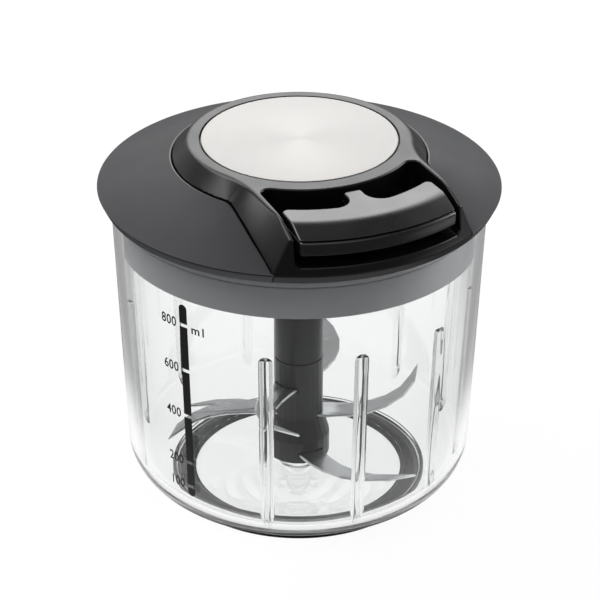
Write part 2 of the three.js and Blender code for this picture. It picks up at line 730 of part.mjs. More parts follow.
// Plan of the pocket that the handle lies in, open to the front
function pocketOutline(grow) {
  const back = POCKET_BACK_RADIUS - grow;
  const half = POCKET_HALF + grow;
  const corner = POCKET_CORNER + grow;
  const centreV = half - corner;
  const centreU = Math.sqrt((back + corner) ** 2 - centreV ** 2);
  const meet = Math.atan2(centreV, centreU);
  const outline = mirrored([
    ...arc(0, 0, back, 0, meet, OUTLINE_FILLET_STEPS),
    ...arc(centreU, centreV, corner, Math.PI + meet, Math.PI / 2, OUTLINE_FILLET_STEPS).slice(1),
    [BRIM_RADIUS + OVERRUN, half + POCKET_WIDENING],
  ]);
  return outline.slice(1, -1);
}

// The pocket's room, with a chamfer between its floor and its walls
function pocketBody(grow, floorZ) {
  const ringAt = (extra, z) => pocketOutline(grow + extra).map(([u, v]) => [v, -u, z]);
  const wallLow = floorZ + POCKET_CHAMFER;
  return lofted([ringAt(-POCKET_CHAMFER, floorZ), ringAt(0, wallLow), ringAt(0, TOP_Z + OVERRUN)]);
}

function makeNeck() {
  const hollow = neckBody(NECK_SHELL, TOP_Z - CEILING_Z)
    .subtract(pocketBody(POCKET_WALL, POCKET_FLOOR_Z - POCKET_WALL))
    .subtract(postBodies(POST_RADIUS, CUP_TOP_Z + FIT))
    .subtract(rod(upperBossRadius(), DRUM_TOP_Z - DRUM_WELL_DEPTH + RUNNING, TOP_Z));
  const bowlSeat = tube(
    plugRadius(PLUG_LOW_Z, PLUG_WALL) - NECK_FOOT_GAP,
    BOWL_RADIUS + NECK_FOOT_GAP,
    0,
    FLANGE_TOP_Z + FIT,
    ROUND_LARGE,
  );
  const body = neckBody(0, 0)
    .subtract(pocketBody(0, POCKET_FLOOR_Z))
    .subtract(hollow)
    .subtract(bowlSeat)
    .subtract(rod(DISC_RADIUS + FIT, DISC_FLOOR_Z, TOP_Z + OVERRUN, ROUND_LARGE))
    .subtract(postBodies(SCREW_RADIUS + FIT, CUP_TOP_Z - OVERRUN, CUP_TOP_Z + SCREW_LENGTH))
    .subtract(rod(JOURNAL_RADIUS + FIT + UPPER_BUSH_WALL + FIT, DRUM_LOW_Z, DRUM_TOP_Z + FIT))
    .subtract(along(rod(EYELET_RADIUS + FIT, POCKET_BACK_RADIUS / 2, POCKET_BACK_RADIUS + OVERRUN)))
    .add(restPads());
  return largest(body);
}

// The main body of a cut, without the crumbs that faces meeting at a glance leave
function largest(body) {
  return body.decompose().reduce((most, piece) => (piece.volume() > most.volume() ? piece : most));
}

function upperBossRadius() {
  return JOURNAL_RADIUS + FIT + UPPER_BUSH_WALL + FIT + UPPER_BOSS_WALL;
}

// Two pads on the pocket floor, under the back of the handle's bar
function restPads() {
  const top = HANDLE_LOW_Z - FIT;
  const height = top - POCKET_FLOOR_Z + POCKET_WALL / 2;
  const pad = (side) => {
    const box = new THREE.BoxGeometry(REST_PAD_WIDTH, REST_PAD_LENGTH, height);
    return solid(box.translate(side * REST_PAD_SPACING, -REST_PAD_REACH, top - height / 2));
  };
  return pad(-1).add(pad(1));
}

// Turns a body on the Z axis to lie along the handle's direction at the cord's height
function along(body) {
  return moved(body.rotate([90, 0, 0]), 0, 0, CORD_Z);
}

function earAngles() {
  return Array.from({ length: EAR_COUNT }, (_, i) => EAR_FIRST_ANGLE + (i * 2 * Math.PI) / EAR_COUNT);
}

function postBodies(radius, low, high = TOP_Z) {
  return earAngles()
    .map((angle) => moved(rod(radius, low, high), ...around(EAR_REACH, angle), 0))
    .reduce((all, post) => all.add(post));
}

function makeDisc() {
  const low = TOP_Z - DISC_THICKNESS;
  return revolve(
    [
      [0, low],
      [DISC_RADIUS - DISC_EDGE, low],
      [DISC_RADIUS, low + DISC_EDGE],
      [DISC_RADIUS, TOP_Z - DISC_EDGE],
      [DISC_RADIUS - DISC_EDGE, TOP_Z],
      [0, TOP_Z],
    ],
    ROUND_LARGE,
  );
}

// Radius of the plug's skirt, drafted with the bowl it goes into
function plugRadius(z, inset = 0) {
  return bowlRadius(z, BOWL_WALL + PLUG_SLACK + inset);
}

function makePlug() {
  const standOuter = COLLAR_FOOT_RADIUS - FIT;
  const standTop = NECK_LOW_Z - FIT;
  const floorTop = PLUG_FLOOR_Z + PLUG_FLOOR;
  const sealTop = RIM_Z - SEAL_BELOW_RIM;
  const sealLow = sealTop - SEAL_HEIGHT - 2 * FIT;
  const seat = RIM_Z + FIT;
  const body = revolve(
    [
      [0, PLUG_FLOOR_Z],
      [plugRadius(PLUG_FLOOR_Z, PLUG_WALL), PLUG_FLOOR_Z],
      [plugRadius(PLUG_LOW_Z, PLUG_WALL), PLUG_LOW_Z],
      [plugRadius(PLUG_LOW_Z), PLUG_LOW_Z],
      [plugRadius(sealLow), sealLow],
      [plugRadius(sealLow, SEAL_DEPTH), sealLow],
      [plugRadius(sealTop, SEAL_DEPTH), sealTop],
      [plugRadius(sealTop), sealTop],
      [plugRadius(seat), seat],
      [FLANGE_RADIUS, seat],
      [FLANGE_RADIUS, FLANGE_TOP_Z],
      [plugRadius(seat, PLUG_WALL), FLANGE_TOP_Z],
      [plugRadius(floorTop, PLUG_WALL), floorTop],
      [standOuter, floorTop],
      [standOuter, standTop],
      [standOuter - STAND_WALL, standTop],
      [standOuter - STAND_WALL, floorTop],
      [SEAL_BOSS_RADIUS, floorTop],
      [SEAL_BOSS_RADIUS, SEAL_BOSS_TOP_Z],
      [0, SEAL_BOSS_TOP_Z],
    ],
    ROUND_LARGE,
  );
  return body
    .subtract(rod(SPIGOT_ROUND_RADIUS + RUNNING, 0, TOP_Z))
    .subtract(rod(SHAFT_SEAL_RADIUS + FIT, SEAL_BOSS_TOP_Z - SHAFT_SEAL_HEIGHT - FIT, TOP_Z));
}

function makeSeal() {
  const high = RIM_Z - SEAL_BELOW_RIM - FIT;
  const low = high - SEAL_HEIGHT;
  const middle = (low + high) / 2;
  const bulge = PLUG_SLACK - FIT;
  return ring(
    [
      [plugRadius(low, SEAL_DEPTH - FIT), low],
      [plugRadius(low), low],
      [plugRadius(middle, -bulge), middle],
      [plugRadius(high), high],
      [plugRadius(high, SEAL_DEPTH - FIT), high],
    ],
    ROUND_LARGE,
  );
}

function makeShaftSeal() {
  const low = SEAL_BOSS_TOP_Z - SHAFT_SEAL_HEIGHT;
  return tube(SPIGOT_ROUND_RADIUS + FIT, SHAFT_SEAL_RADIUS, low, SEAL_BOSS_TOP_Z, ROUND_SMALL);
}

// Drum with its cord groove, the hub that the spring turns and the sleeve that drives the spigot
function makeDrum() {
  const well = DRUM_TOP_Z - DRUM_WELL_DEPTH;
  const body = revolve([
    [0, DRUM_FOOT_Z],
    [DRUM_NECK_RADIUS, DRUM_FOOT_Z],
    [DRUM_NECK_RADIUS, HUB_STEP_Z],
    [DRUM_HUB_RADIUS, HUB_STEP_Z],
    [DRUM_HUB_RADIUS, DRUM_LOW_Z],
    [DRUM_FLANGE_RADIUS, DRUM_LOW_Z],
    [DRUM_FLANGE_RADIUS, GROOVE_LOW_Z],
    [DRUM_CORE_RADIUS, GROOVE_LOW_Z],
    [DRUM_CORE_RADIUS, GROOVE_TOP_Z],
    [DRUM_FLANGE_RADIUS, GROOVE_TOP_Z],
    [DRUM_FLANGE_RADIUS, DRUM_TOP_Z],
    [DRUM_WELL_RADIUS, DRUM_TOP_Z],
    [DRUM_WELL_RADIUS, well],
    [JOURNAL_RADIUS, well],
    [JOURNAL_RADIUS, DRUM_TOP_Z - FIT],
    [0, DRUM_TOP_Z - FIT],
  ]);
  const tail = DRUM_FOOT_Z + SPIGOT_TAIL_LENGTH;
  return body
    .subtract(hexBar(SPIGOT_TAIL_FLATS + 2 * FIT, DRUM_FOOT_Z - OVERRUN, tail + FIT))
    .subtract(crossPin(DRIVE_PIN_RADIUS + FIT, DRUM_NECK_RADIUS + OVERRUN));
}

function crossPin(radius, half) {
  const pin = rod(radius, -half, half, ROUND_TINY).rotate([0, 90, 0]);
  return moved(pin, 0, 0, DRUM_FOOT_Z + SPIGOT_TAIL_LENGTH / 2);
}

function makeDrivePin() {
  return crossPin(DRIVE_PIN_RADIUS, DRUM_NECK_RADIUS - FIT);
}

function makeSpigot() {
  const roundTop = DRUM_FOOT_Z - FIT;
  const tip = SHAFT_TOP_Z - SOCKET_DEPTH + RUNNING;
  const shoulder = (SHAFT_TOP_Z + PLUG_FLOOR_Z) / 2;
  return hexBar(SPIGOT_FLATS, tip, shoulder)
    .add(rod(SPIGOT_ROUND_RADIUS, shoulder, roundTop))
    .add(hexBar(SPIGOT_TAIL_FLATS, roundTop - FIT, DRUM_FOOT_Z + SPIGOT_TAIL_LENGTH - FIT))
    .subtract(crossPin(DRIVE_PIN_RADIUS + FIT, DRUM_NECK_RADIUS));
}

function makeWinding() {
  const half = (CORD_TURNS_WIDE * CORD_DIAMETER) / 2;
  return tube(WINDING_INNER, WINDING_OUTER, CORD_Z - half, CORD_Z + half);
}

function makeUpperBush() {
  const inner = JOURNAL_RADIUS + FIT;
  const low = DRUM_TOP_Z - DRUM_WELL_DEPTH + RUNNING;
  return tube(inner, inner + UPPER_BUSH_WALL, low, DRUM_TOP_Z, ROUND_SMALL);
}

function lowerBushInner() {
  return DRUM_NECK_RADIUS + FIT;
}

function makeLowerBush() {
  const inner = lowerBushInner();
  const outer = inner + LOWER_BUSH_WALL;
  const seat = CUP_FLOOR_Z + FIT;
  return ring(
    [
      [inner, CUP_FLOOR_Z - CUP_FLOOR],
      [outer, CUP_FLOOR_Z - CUP_FLOOR],
      [outer, seat],
      [outer + LOWER_BUSH_REACH, seat],
      [outer + LOWER_BUSH_REACH, seat + LOWER_BUSH_FLANGE],
      [inner, seat + LOWER_BUSH_FLANGE],
    ],
    ROUND_SMALL,
  );
}

// Cup round the spring, with a step for its cover and ears that screw to the neck's posts
function makeSpringCup() {
  const inner = CUP_RADIUS - CUP_WALL;
  const bore = lowerBushInner() + LOWER_BUSH_WALL + FIT;
  const coverSeat = CUP_TOP_Z - CUP_COVER - FIT;
  const cup = ring([
    [bore, CUP_FLOOR_Z - CUP_FLOOR],
    [CUP_RADIUS, CUP_FLOOR_Z - CUP_FLOOR],
    [CUP_RADIUS, CUP_TOP_Z],
    [CUP_RADIUS - CUP_WALL / 2, CUP_TOP_Z],
    [CUP_RADIUS - CUP_WALL / 2, coverSeat],
    [inner, coverSeat],
    [inner, CUP_FLOOR_Z],
    [bore, CUP_FLOOR_Z],
  ]);
  const earLow = CUP_TOP_Z - EAR_THICKNESS;
  const armStart = CUP_RADIUS - CUP_WALL / 2;
  let body = cup;
  for (const angle of earAngles()) {
    const arm = new THREE.BoxGeometry(2 * EAR_RADIUS, EAR_REACH - armStart, EAR_THICKNESS);
    arm.translate(0, -(EAR_REACH + armStart) / 2, CUP_TOP_Z - EAR_THICKNESS / 2).rotateZ(angle);
    const end = moved(rod(EAR_RADIUS, earLow, CUP_TOP_Z), ...around(EAR_REACH, angle), 0);
    body = body.add(solid(arm)).add(end);
  }
  return body.subtract(postBodies(SCREW_RADIUS + FIT, earLow - OVERRUN));
}

function makeSpringCover() {
  return tube(
    DRUM_HUB_RADIUS + RUNNING,
    CUP_RADIUS - CUP_WALL / 2 - FIT,
    CUP_TOP_Z - CUP_COVER,
    CUP_TOP_Z,
  );
}

// Flat spiral strip from the drum's hub out to the cup's wall
function makeSpring() {
  const inner = DRUM_HUB_RADIUS + FIT;
  const outer = CUP_RADIUS - CUP_WALL - FIT - SPRING_STRIP;
  const steps = SPRING_TURNS * SPRING_STEPS_PER_TURN;
  const edge = (offset) =>
    Array.from({ length: steps + 1 }, (_, i) => {
      const share = i / steps;
      const radius = inner + (outer - inner) * share + offset;
      const angle = share * SPRING_TURNS * 2 * Math.PI;
      return [radius * Math.cos(angle), radius * Math.sin(angle)];
    });
  return prism([...edge(0), ...edge(SPRING_STRIP).reverse()], SPRING_LOW_Z, SPRING_TOP_Z);
}

// A screw pointing up from its head's seat
function makeScrew(length) {
  const head = revolve(
    [
      [0, -SCREW_HEAD_HEIGHT],
      [SCREW_HEAD_RADIUS - SCREW_HEAD_BEVEL, -SCREW_HEAD_HEIGHT],
      [SCREW_HEAD_RADIUS, 0],
      [SCREW_RADIUS, 0],
      [SCREW_RADIUS, length - SCREW_RADIUS],
      [0, length],
    ],
    ROUND_TINY,
  );
  const recessTop = SCREW_RECESS_DEPTH - SCREW_HEAD_HEIGHT;
  return head.subtract(hexBar(2 * SCREW_RECESS_RADIUS, -SCREW_HEAD_HEIGHT - OVERRUN, recessTop));
}

function makeEyelet() {
  const inner = POCKET_BACK_RADIUS - POCKET_WALL;
  const seat = POCKET_BACK_RADIUS + FIT;
  const face = seat + EYELET_FLANGE;
  return along(
    ring(
      [
        [EYELET_BORE_RADIUS + EYELET_FLARE, inner],
        [EYELET_RADIUS, inner],
        [EYELET_RADIUS, seat],
        [EYELET_FLANGE_RADIUS, seat],
        [EYELET_FLANGE_RADIUS, face - EYELET_FLANGE / 2],
        [EYELET_FLANGE_RADIUS - EYELET_FLANGE / 2, face],
        [EYELET_BORE_RADIUS + EYELET_FLARE, face],
        [EYELET_BORE_RADIUS, (inner + face) / 2],
      ],
      ROUND_SMALL,
    ),
  );
}

// The cord from where it leaves the winding, through the eyelet, to the knot in the handle
function makeCord() {
  const mouth = POCKET_BACK_RADIUS - POCKET_WALL - FIT;
  const lean = Math.acos(CORD_LEAVE_RADIUS / mouth);
  const [leaveX, leaveY] = around(CORD_LEAVE_RADIUS, lean);
  const path = new THREE.CatmullRomCurve3([
    new THREE.Vector3(leaveX, leaveY, CORD_Z),
    new THREE.Vector3(leaveX / 2, (leaveY - mouth) / 2, CORD_Z),
    new THREE.Vector3(leaveX / 8, (leaveY - 7 * mouth) / 8, CORD_Z),
    new THREE.Vector3(0, -mouth - POCKET_WALL, CORD_Z),
    new THREE.Vector3(0, -KNOT_REACH + KNOT_RADIUS + FIT, CORD_Z),
  ]);
  const circle = arc(0, 0, CORD_DIAMETER / 2, 0, 2 * Math.PI, CORD_SIDES).slice(1);
  const section = new THREE.Shape(circle.map(([x, y]) => new THREE.Vector2(x, y)));
  const steps = Math.round(path.getLength() / CORD_STEP) * 2;
  return solid(new THREE.ExtrudeGeometry(section, { steps, bevelEnabled: false, extrudePath: path }));
}

// Plan of the handle: a curved bar with a stem to the middle, drawn in by an inset
function handleOutline(front, inset) {
  const stem = STEM_HALF - inset;
  const fillet = STEM_FILLET + inset;
  const back = HANDLE_BACK_RADIUS + inset;
  const filletU = Math.sqrt((back - fillet) ** 2 - (stem + fillet) ** 2);
  const meet = Math.atan2(stem + fillet, filletU);
  const corner = Math.max(HANDLE_BACK_CORNER - inset, FIT);
  const backHalf = HANDLE_BACK_HALF - inset;
  const cornerV = backHalf - corner;
  const cornerU = Math.sqrt((back + corner) ** 2 - cornerV ** 2);
  const cornerAngle = Math.atan2(cornerV, cornerU);
  const frontCorner = HANDLE_FRONT_CORNER;
  const frontHalf = HANDLE_BACK_HALF + HANDLE_WIDENING - inset;
  const frontRadius = front - inset;
  const tipV = frontHalf - frontCorner;
  const tipU = Math.sqrt((frontRadius - frontCorner) ** 2 - tipV ** 2);
  const tip = Math.atan2(tipV, tipU);
  const nose = STEM_END + inset;
  return mirrored([
    [nose, Math.max(stem - STEM_BEVEL, FIT)],
    [nose + STEM_BEVEL, stem],
    ...arc(filletU, stem + fillet, fillet, 1.5 * Math.PI, 2 * Math.PI + meet, HANDLE_ARC_STEPS),
    ...arc(0, 0, back, meet, cornerAngle, HANDLE_ARC_STEPS).slice(1),
    ...arc(cornerU, cornerV, corner, Math.PI + cornerAngle, Math.PI / 2, HANDLE_ARC_STEPS / 2).slice(1),
    ...arc(tipU, tipV, frontCorner, Math.PI / 2, tip, 2),
    ...arc(0, 0, frontRadius, tip, 0, HANDLE_ARC_STEPS).slice(1, -1),
    [frontRadius, 0],
  ]).filter(([, v], i, all) => i === 0 || v !== 0 || all[i - 1][1] !== 0);
}

// Section of the handle's round front: level top, a slope down to the split, and the band below it
function handleSection(inset) {
  const split = HANDLE_SPLIT_Z;
  return revolve(
    [
      [0, HANDLE_LOW_Z + inset],
      [HANDLE_FRONT_RADIUS - inset, HANDLE_LOW_Z + inset],
      [HANDLE_FRONT_RADIUS + HANDLE_BAND_BULGE - inset, (HANDLE_LOW_Z + split) / 2],
      [HANDLE_FRONT_RADIUS + HANDLE_BAND_BULGE / 2 - inset, split - FIT],
      [HANDLE_FRONT_RADIUS - inset, split],
      [HANDLE_ROLL_RADIUS - inset / 2, HANDLE_TOP_Z - inset],
      [0, HANDLE_TOP_Z - inset],
    ],
    ROUND_LARGE,
  );
}

function handleBody(inset, low, high) {
  const front = HANDLE_FRONT_RADIUS + HANDLE_BAND_BULGE;
  return prism(handleOutline(front, inset), low, high).intersect(handleSection(inset));
}

function handleBosses(radius, low, high) {
  const boss = (side) => moved(rod(radius, low, high), side * HANDLE_SCREW_HALF, -handleScrewU(), 0);
  return boss(-1).add(boss(1));
}

function handleScrewU() {
  return Math.sqrt(HANDLE_SCREW_REACH ** 2 - HANDLE_SCREW_HALF ** 2);
}

function screwSeatZ() {
  return HANDLE_LOW_Z + SCREW_HEAD_HEIGHT + FIT;
}

function makeHandleTop() {
  const hollow = handleBody(HANDLE_SHELL, HANDLE_SPLIT_Z - OVERRUN, TOP_Z).subtract(
    handleBosses(HANDLE_BOSS_RADIUS, 0, TOP_Z),
  );
  return handleBody(0, HANDLE_SPLIT_Z, TOP_Z)
    .subtract(hollow)
    .subtract(handleBosses(SCREW_RADIUS + FIT, 0, HANDLE_TOP_Z - HANDLE_SHELL / 2))
    .subtract(knotBody(KNOT_RADIUS + FIT))
    .subtract(cordBore());
}

function makeHandleBase() {
  const hollow = handleBody(HANDLE_SHELL, HANDLE_LOW_Z + HANDLE_SHELL, TOP_Z).subtract(
    handleBosses(HANDLE_BOSS_RADIUS, 0, TOP_Z),
  );
  return handleBody(0, 0, HANDLE_SPLIT_Z - FIT)
    .subtract(hollow)
    .subtract(handleBosses(SCREW_RADIUS + FIT, 0, TOP_Z))
    .subtract(handleBosses(SCREW_HEAD_RADIUS + FIT, 0, screwSeatZ()))
    .subtract(knotBody(KNOT_RADIUS + FIT))
    .subtract(cordBore());
}

function cordBore() {
  return along(rod(CORD_DIAMETER / 2 + FIT, STEM_END - OVERRUN, KNOT_REACH, ROUND_TINY));
}

function knotBody(radius) {
  const half = arc(0, 0, radius, -Math.PI / 2, Math.PI / 2, ROUND_TINY / 2);
  return along(moved(revolve(half, ROUND_TINY), 0, 0, KNOT_REACH));
}

function mesh(name, body, material) {
  const made = new THREE.Mesh(geometryOf(body), material);
  made.name = name;
  return made;
}

function group(...members) {
  const made = new THREE.Group();
  made.add(...members);
  return made;
}

function bowlGroup() {
  return group(
    mesh("bowl", makeBowl(), materials.clearPlastic),
    mesh("base_ring", makeBaseRing(), materials.softBlack),
    mesh("centre_pin", makeCentrePin(), materials.bladeSteel),
  );
}

function bladeGroup() {
  const blades = BLADES.map((blade) => mesh(blade.name, bladeBody(blade), materials.bladeSteel));
  return group(
    mesh("blade_hub", makeHub(), materials.shaftPlastic),
    mesh("blade_shaft", makeShaft(), materials.shaftPlastic),
    mesh("pin_bush", makePinBush(), materials.bearing),
    ...blades,
  );
}

function cupScrews() {
  return earAngles().map((angle, i) => {
    const screw = mesh(`cup_screw_${i + 1}`, makeScrew(SCREW_LENGTH), materials.springSteel);
    screw.position.set(...around(EAR_REACH, angle), CUP_TOP_Z - EAR_THICKNESS - FIT);
    return screw;
  });
}

function lidGroup() {
  return group(
    mesh("lid_plug", makePlug(), materials.greyPlastic),
    mesh("lid_seal", makeSeal(), materials.silicone),
    mesh("lid_brim", makeBrim(), materials.darkSatin),
    mesh("neck_housing", makeNeck(), materials.gloss),
    mesh("steel_disc", makeDisc(), materials.brushedSteel),
    mesh("cord_eyelet", makeEyelet(), materials.gloss),
    mesh("spring_cup", makeSpringCup(), materials.innerPlastic),
    mesh("spring_cover", makeSpringCover(), materials.innerPlastic),
    mesh("return_spring", makeSpring(), materials.springSteel),
    mesh("upper_bush", makeUpperBush(), materials.bearing),
    mesh("lower_bush", makeLowerBush(), materials.bearing),
    mesh("shaft_seal", makeShaftSeal(), materials.silicone),
    mesh("pull_cord", makeCord(), materials.cord),
    ...cupScrews(),
  );
}

function driveGroup() {
  return group(
    mesh("cord_drum", makeDrum(), materials.innerPlastic),
    mesh("cord_winding", makeWinding(), materials.cord),
    mesh("drive_spigot", makeSpigot(), materials.shaftPlastic),
    mesh("drive_pin", makeDrivePin(), materials.springSteel),
  );
}

function handleScrews() {
  const length = SCREW_LENGTH - SCREW_HEAD_HEIGHT;
  return [-1, 1].map((side, i) => {
    const screw = mesh(`handle_screw_${i + 1}`, makeScrew(length), materials.springSteel);
    screw.position.set(side * HANDLE_SCREW_HALF, -handleScrewU(), screwSeatZ() - FIT);
    return screw;
  });
}

function handleGroup() {
  return group(
    mesh("handle_top", makeHandleTop(), materials.gloss),
    mesh("handle_base", makeHandleBase(), materials.gloss),
    mesh("cord_knot", knotBody(KNOT_RADIUS), materials.cord),
    ...handleScrews(),
  );
}

const chopper = group(bowlGroup(), bladeGroup(), lidGroup(), driveGroup(), handleGroup());

export default chopper;
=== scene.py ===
import functools
import math

import bmesh
import bpy
import numpy as np
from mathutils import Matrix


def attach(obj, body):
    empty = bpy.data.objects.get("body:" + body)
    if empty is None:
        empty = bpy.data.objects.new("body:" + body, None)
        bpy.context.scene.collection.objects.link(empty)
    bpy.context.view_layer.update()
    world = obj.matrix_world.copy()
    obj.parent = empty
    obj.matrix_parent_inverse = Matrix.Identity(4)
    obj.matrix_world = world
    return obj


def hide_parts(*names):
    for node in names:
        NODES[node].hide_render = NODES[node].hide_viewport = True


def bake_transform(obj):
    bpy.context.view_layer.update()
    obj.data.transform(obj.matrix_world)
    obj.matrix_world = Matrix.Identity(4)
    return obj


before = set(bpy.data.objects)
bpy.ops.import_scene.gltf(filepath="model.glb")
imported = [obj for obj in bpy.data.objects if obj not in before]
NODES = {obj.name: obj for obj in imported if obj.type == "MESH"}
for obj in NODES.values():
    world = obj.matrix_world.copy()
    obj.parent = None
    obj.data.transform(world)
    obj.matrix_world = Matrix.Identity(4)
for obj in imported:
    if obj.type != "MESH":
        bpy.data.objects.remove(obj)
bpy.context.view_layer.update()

import openvdb
from mathutils import Quaternion, Vector

MM = 0.001
# A corner flatter than this stays as it is, and a rounding takes at most this share of a side.
STRAIGHT = math.radians(168)
ROUND_SHARE = 0.45

# Sizes are in millimetres, as in the CAD source. u runs from the axis toward the handle (-Y), v is |x|.
# RIB_FIRST and POST_TURNS are in degrees from the handle, the other angles in radians.
FIT = 0.3

# Sizes of the bowl
BOWL_RADIUS = 64.7
BOWL_HEIGHT = 114.2
BOWL_WALL = 2.8
BOWL_DRAFT = math.radians(2.29)
BOWL_LIP_Z = 110.0
BOWL_OUTER_RINGS = (30.0, 105.0, 6)
BOWL_INNER_RINGS = (100.0, 24.0, 5)
BOWL_ROUND = 0.8
FOOT_RADIUS = 46.0
FOOT_LIFT = 1.4
FOOT_ROUND = 0.3
FLOOR_Z = 4.8
HEEL_WIDTH = 24.0
HEEL_HEIGHT = 17.7
HEEL_TOP_Z = FOOT_LIFT + HEEL_HEIGHT
HEEL_BASE_Z = 1.1
PIN_BOSS = 6.5
PIN_BOSS_TOP_Z = 8.4
PIN_BORE = 2.8
PIN_BORE_LOW_Z = 3.1
KEY_INNER = 38.4
KEY_OUTER = 44.6
KEY_TOP_Z = 2.7
KEY_CHAMFER = 0.2
RING_INNER = 37.0
RING_ROUND = 0.2

# Sizes of the ribs
RIB_COUNT = 12
RIB_FIRST = -34.6
RIB_SKIPPED = 11
RIB_RADIUS = 1.9
RIB_FILLET = 0.9
RIB_TOP_Z = 81.0
RIB_STRAIGHT_Z = RIB_TOP_Z - RIB_RADIUS
RIB_FOOT_Z = FLOOR_Z + 0.5
RIB_CURVED_Z = 22.0
RIB_PLAIN_Z = 24.0
RIB_SKIN = 0.02
RIB_OVERRUN = 1.0

# Sizes of the printed scale
SCALE_RADIUS = 62.5
SCALE_MARKS = {"800": 88.06, "600": 70.34, "400": 52.12, "200": 33.05, "100": 23.26}
BAR_TURN = math.radians(-61.2)
BAR_HALF = 1.6
BAR_GAP = 0.62
BAR_LOW_Z = 19.3
BAR_HIGH_Z = 96.0
BAR_STEP = 1.5
BAR_LOW_TURNS = (0, 1.5, 6)
BAR_HIGH_TURNS = (0.1, 1.57, 6)
BAR_TIP = 1e-3
PRINT_LIFT = 0.01
PRINT_DEPTH = 0.04
DIGIT_TURN = math.radians(-63.97)
DIGIT_SIZE = 5.1
DIGIT_SQUEEZE = 0.83
DIGIT_SPACING = 1.08
STROKE_GROW = 0.075
UNIT_TURN = math.radians(-58.4)
UNIT_SIZE = 4.6
UNIT_Z = 87.4
UNIT_SPACING = 1.3

# Sizes of the brim and the neck
BRIM_RADIUS = 69.1
BRIM_EDGE_Z = 116.4
BRIM_LOW_Z = 112.8
BRIM_TUCK = 1.6
BRIM_WALL = 1.8
BRIM_INNER_ROUND = 0.8
BRIM_INNER_BAND = 3.0
BRIM_TIP_GAP = 0.02
COLLAR_RADIUS = 43.2
COLLAR_FOOT_Z = 127.0
COLLAR_TOP = 38.0
TOP_Z = 132.5
TOP_ROUND = 0.75
ARM_FOOT_HALF = 35.8
ARM_TOP_HALF = 30.6
ARM_FOOT_FILLET = 10.0
ARM_TOP_FILLET = 40.0
ARM_SLOPE_START = 50.0
ARM_SLOPE = 4.1 / 11.0
ARM_SIDE_SOFT = 9.0
ARM_TOP_SOFT = 2.5
FLANK_OVERRUN = 1.3
FRONT_LEAN = 0.125
FRONT_TILT = 0.91
FRONT_ROUND = 0.45
FRONT_SOFT = 0.5
NECK_WALL = 2.0
NECK_FRONT_WALL = 2.2
NECK_ROOF = 3.1
NECK_LOW_ROUND = 0.3
BRIM_SLOPE = (COLLAR_FOOT_Z - BRIM_EDGE_Z) / (BRIM_RADIUS - COLLAR_RADIUS)
# The brim's section as steps inward and down: from the cone's line at its radius, from its edge with a
# fine groove under it, and from the tucked foot of its skirt.
BRIM_CONE_STEPS = ((0.55, 0.0), (0.25, 0.02))
BRIM_EDGE_STEPS = ((0.07, -0.02), (0.0, 0.1), (0.1, 0.2), (0.7, 0.22), (0.8, 0.6))
BRIM_SKIRT_STEPS = ((0.42, 0.62), (0.33, 0.75), (0.95, 2.1))
BRIM_FOOT_STEPS = ((-0.05, -0.3), (0.15, -0.05), (0.4, 0.0))
# Angles from the handle: where the seam at the arms' tips opens, and where the points lie closer.
TIP_TURNS = (0.6, 0.7)
FILLET_TURNS = (0.72, 1.16)

# Sizes of the pocket and the neck's inside
POCKET_BACK = 39.7
POCKET_HALF = 28.8
POCKET_END_HALF = 29.7
POCKET_CORNER = 3.0
POCKET_END = BRIM_RADIUS + 2
POCKET_FLOOR_Z = 119.1
POCKET_CHAMFER = 1.4
POCKET_ROUND = 0.6
POCKET_WALL = 2.0
CEILING_Z = TOP_Z - NECK_ROOF
CORD_Z = 125.9
CORD_RADIUS = 0.8
CORD_SIDES = 12
CORD_LEAVE_U = 20.6
CORD_MOUTH_U = 37.4
CORD_MOUTH_GAP = 1.2
CORD_BEND_SHARE = 0.96
CORD_END_U = 45.9
CUP_TOP_Z = 122.4
POST_TURNS = (60, 180, 300)
POST_REACH = 30.5
POST_RADIUS = 3.0
POST_BORE_MIDDLE = 2.5
POST_BORE_HALF = 4.5
SCREW_BORE = 1.4
SEAT_INNER = 57.8
SEAT_GAP = 0.8
SEAT_TOP_Z = 116.2
BUSH_BOSS = 5.7
BUSH_BOSS_LOW_Z = 126.0
BUSH_BORE = 4.1
BUSH_Z = 126.7
BUSH_HALF = 2.5
MOUTH_BORE = 2.8
MOUTH_U = 31.0
MOUTH_REACH = 10.7
PAD_V = 17.0
PAD_U = 55.0
PAD_Z = 120.4
PAD_HALVES = (1.2, 4.0, 2.0)

# Sizes of the plug, disc and shaft
PLUG_FIT = 0.4
PLUG_WALL = 2.2
PLUG_LOW_Z = 96.6
PLUG_FLOOR_Z = 98.2
PLUG_INSIDE_Z = 100.2
PLUG_SEAT_Z = 114.5
PLUG_TOP_Z = 115.85
PLUG_FLANGE = 64.9
PLUG_ROUND = 0.45
GROOVE_DEPTH = 1.3
GROOVE_LOW_Z = 108.2
GROOVE_TOP_Z = 111.2
SEAL_DEPTH = 1.0
SEAL_CROWN = 0.1
SEAL_ROUND = 0.3
STAND_RADIUS = 42.9
STAND_TOP_Z = 112.5
BOSS_RADIUS = 10.5
BOSS_TOP_Z = 102.8
BOSS_BORE = 7.9
BOSS_STEP_Z = 99.9
SPIGOT_BORE = 5.5
DISC_RADIUS = 33.7
DISC_DEPTH = 0.8
DISC_ROUND = 0.25
DISC_GAP = 0.22
DISC_SEAT_Z = 131.4
DISC_SEAT_ROUND = 0.2
SHAFT_RADIUS = 8.75
SHAFT_BORE = 6.95
SHAFT_LOW_Z = 48.7
SHAFT_TOP_Z = 96.8
SHAFT_ROUND = 0.4
SOCKET_BORE = 5.2
SOCKET_LOW_Z = 86.8
SOCKET_CONE_Z = 83.8

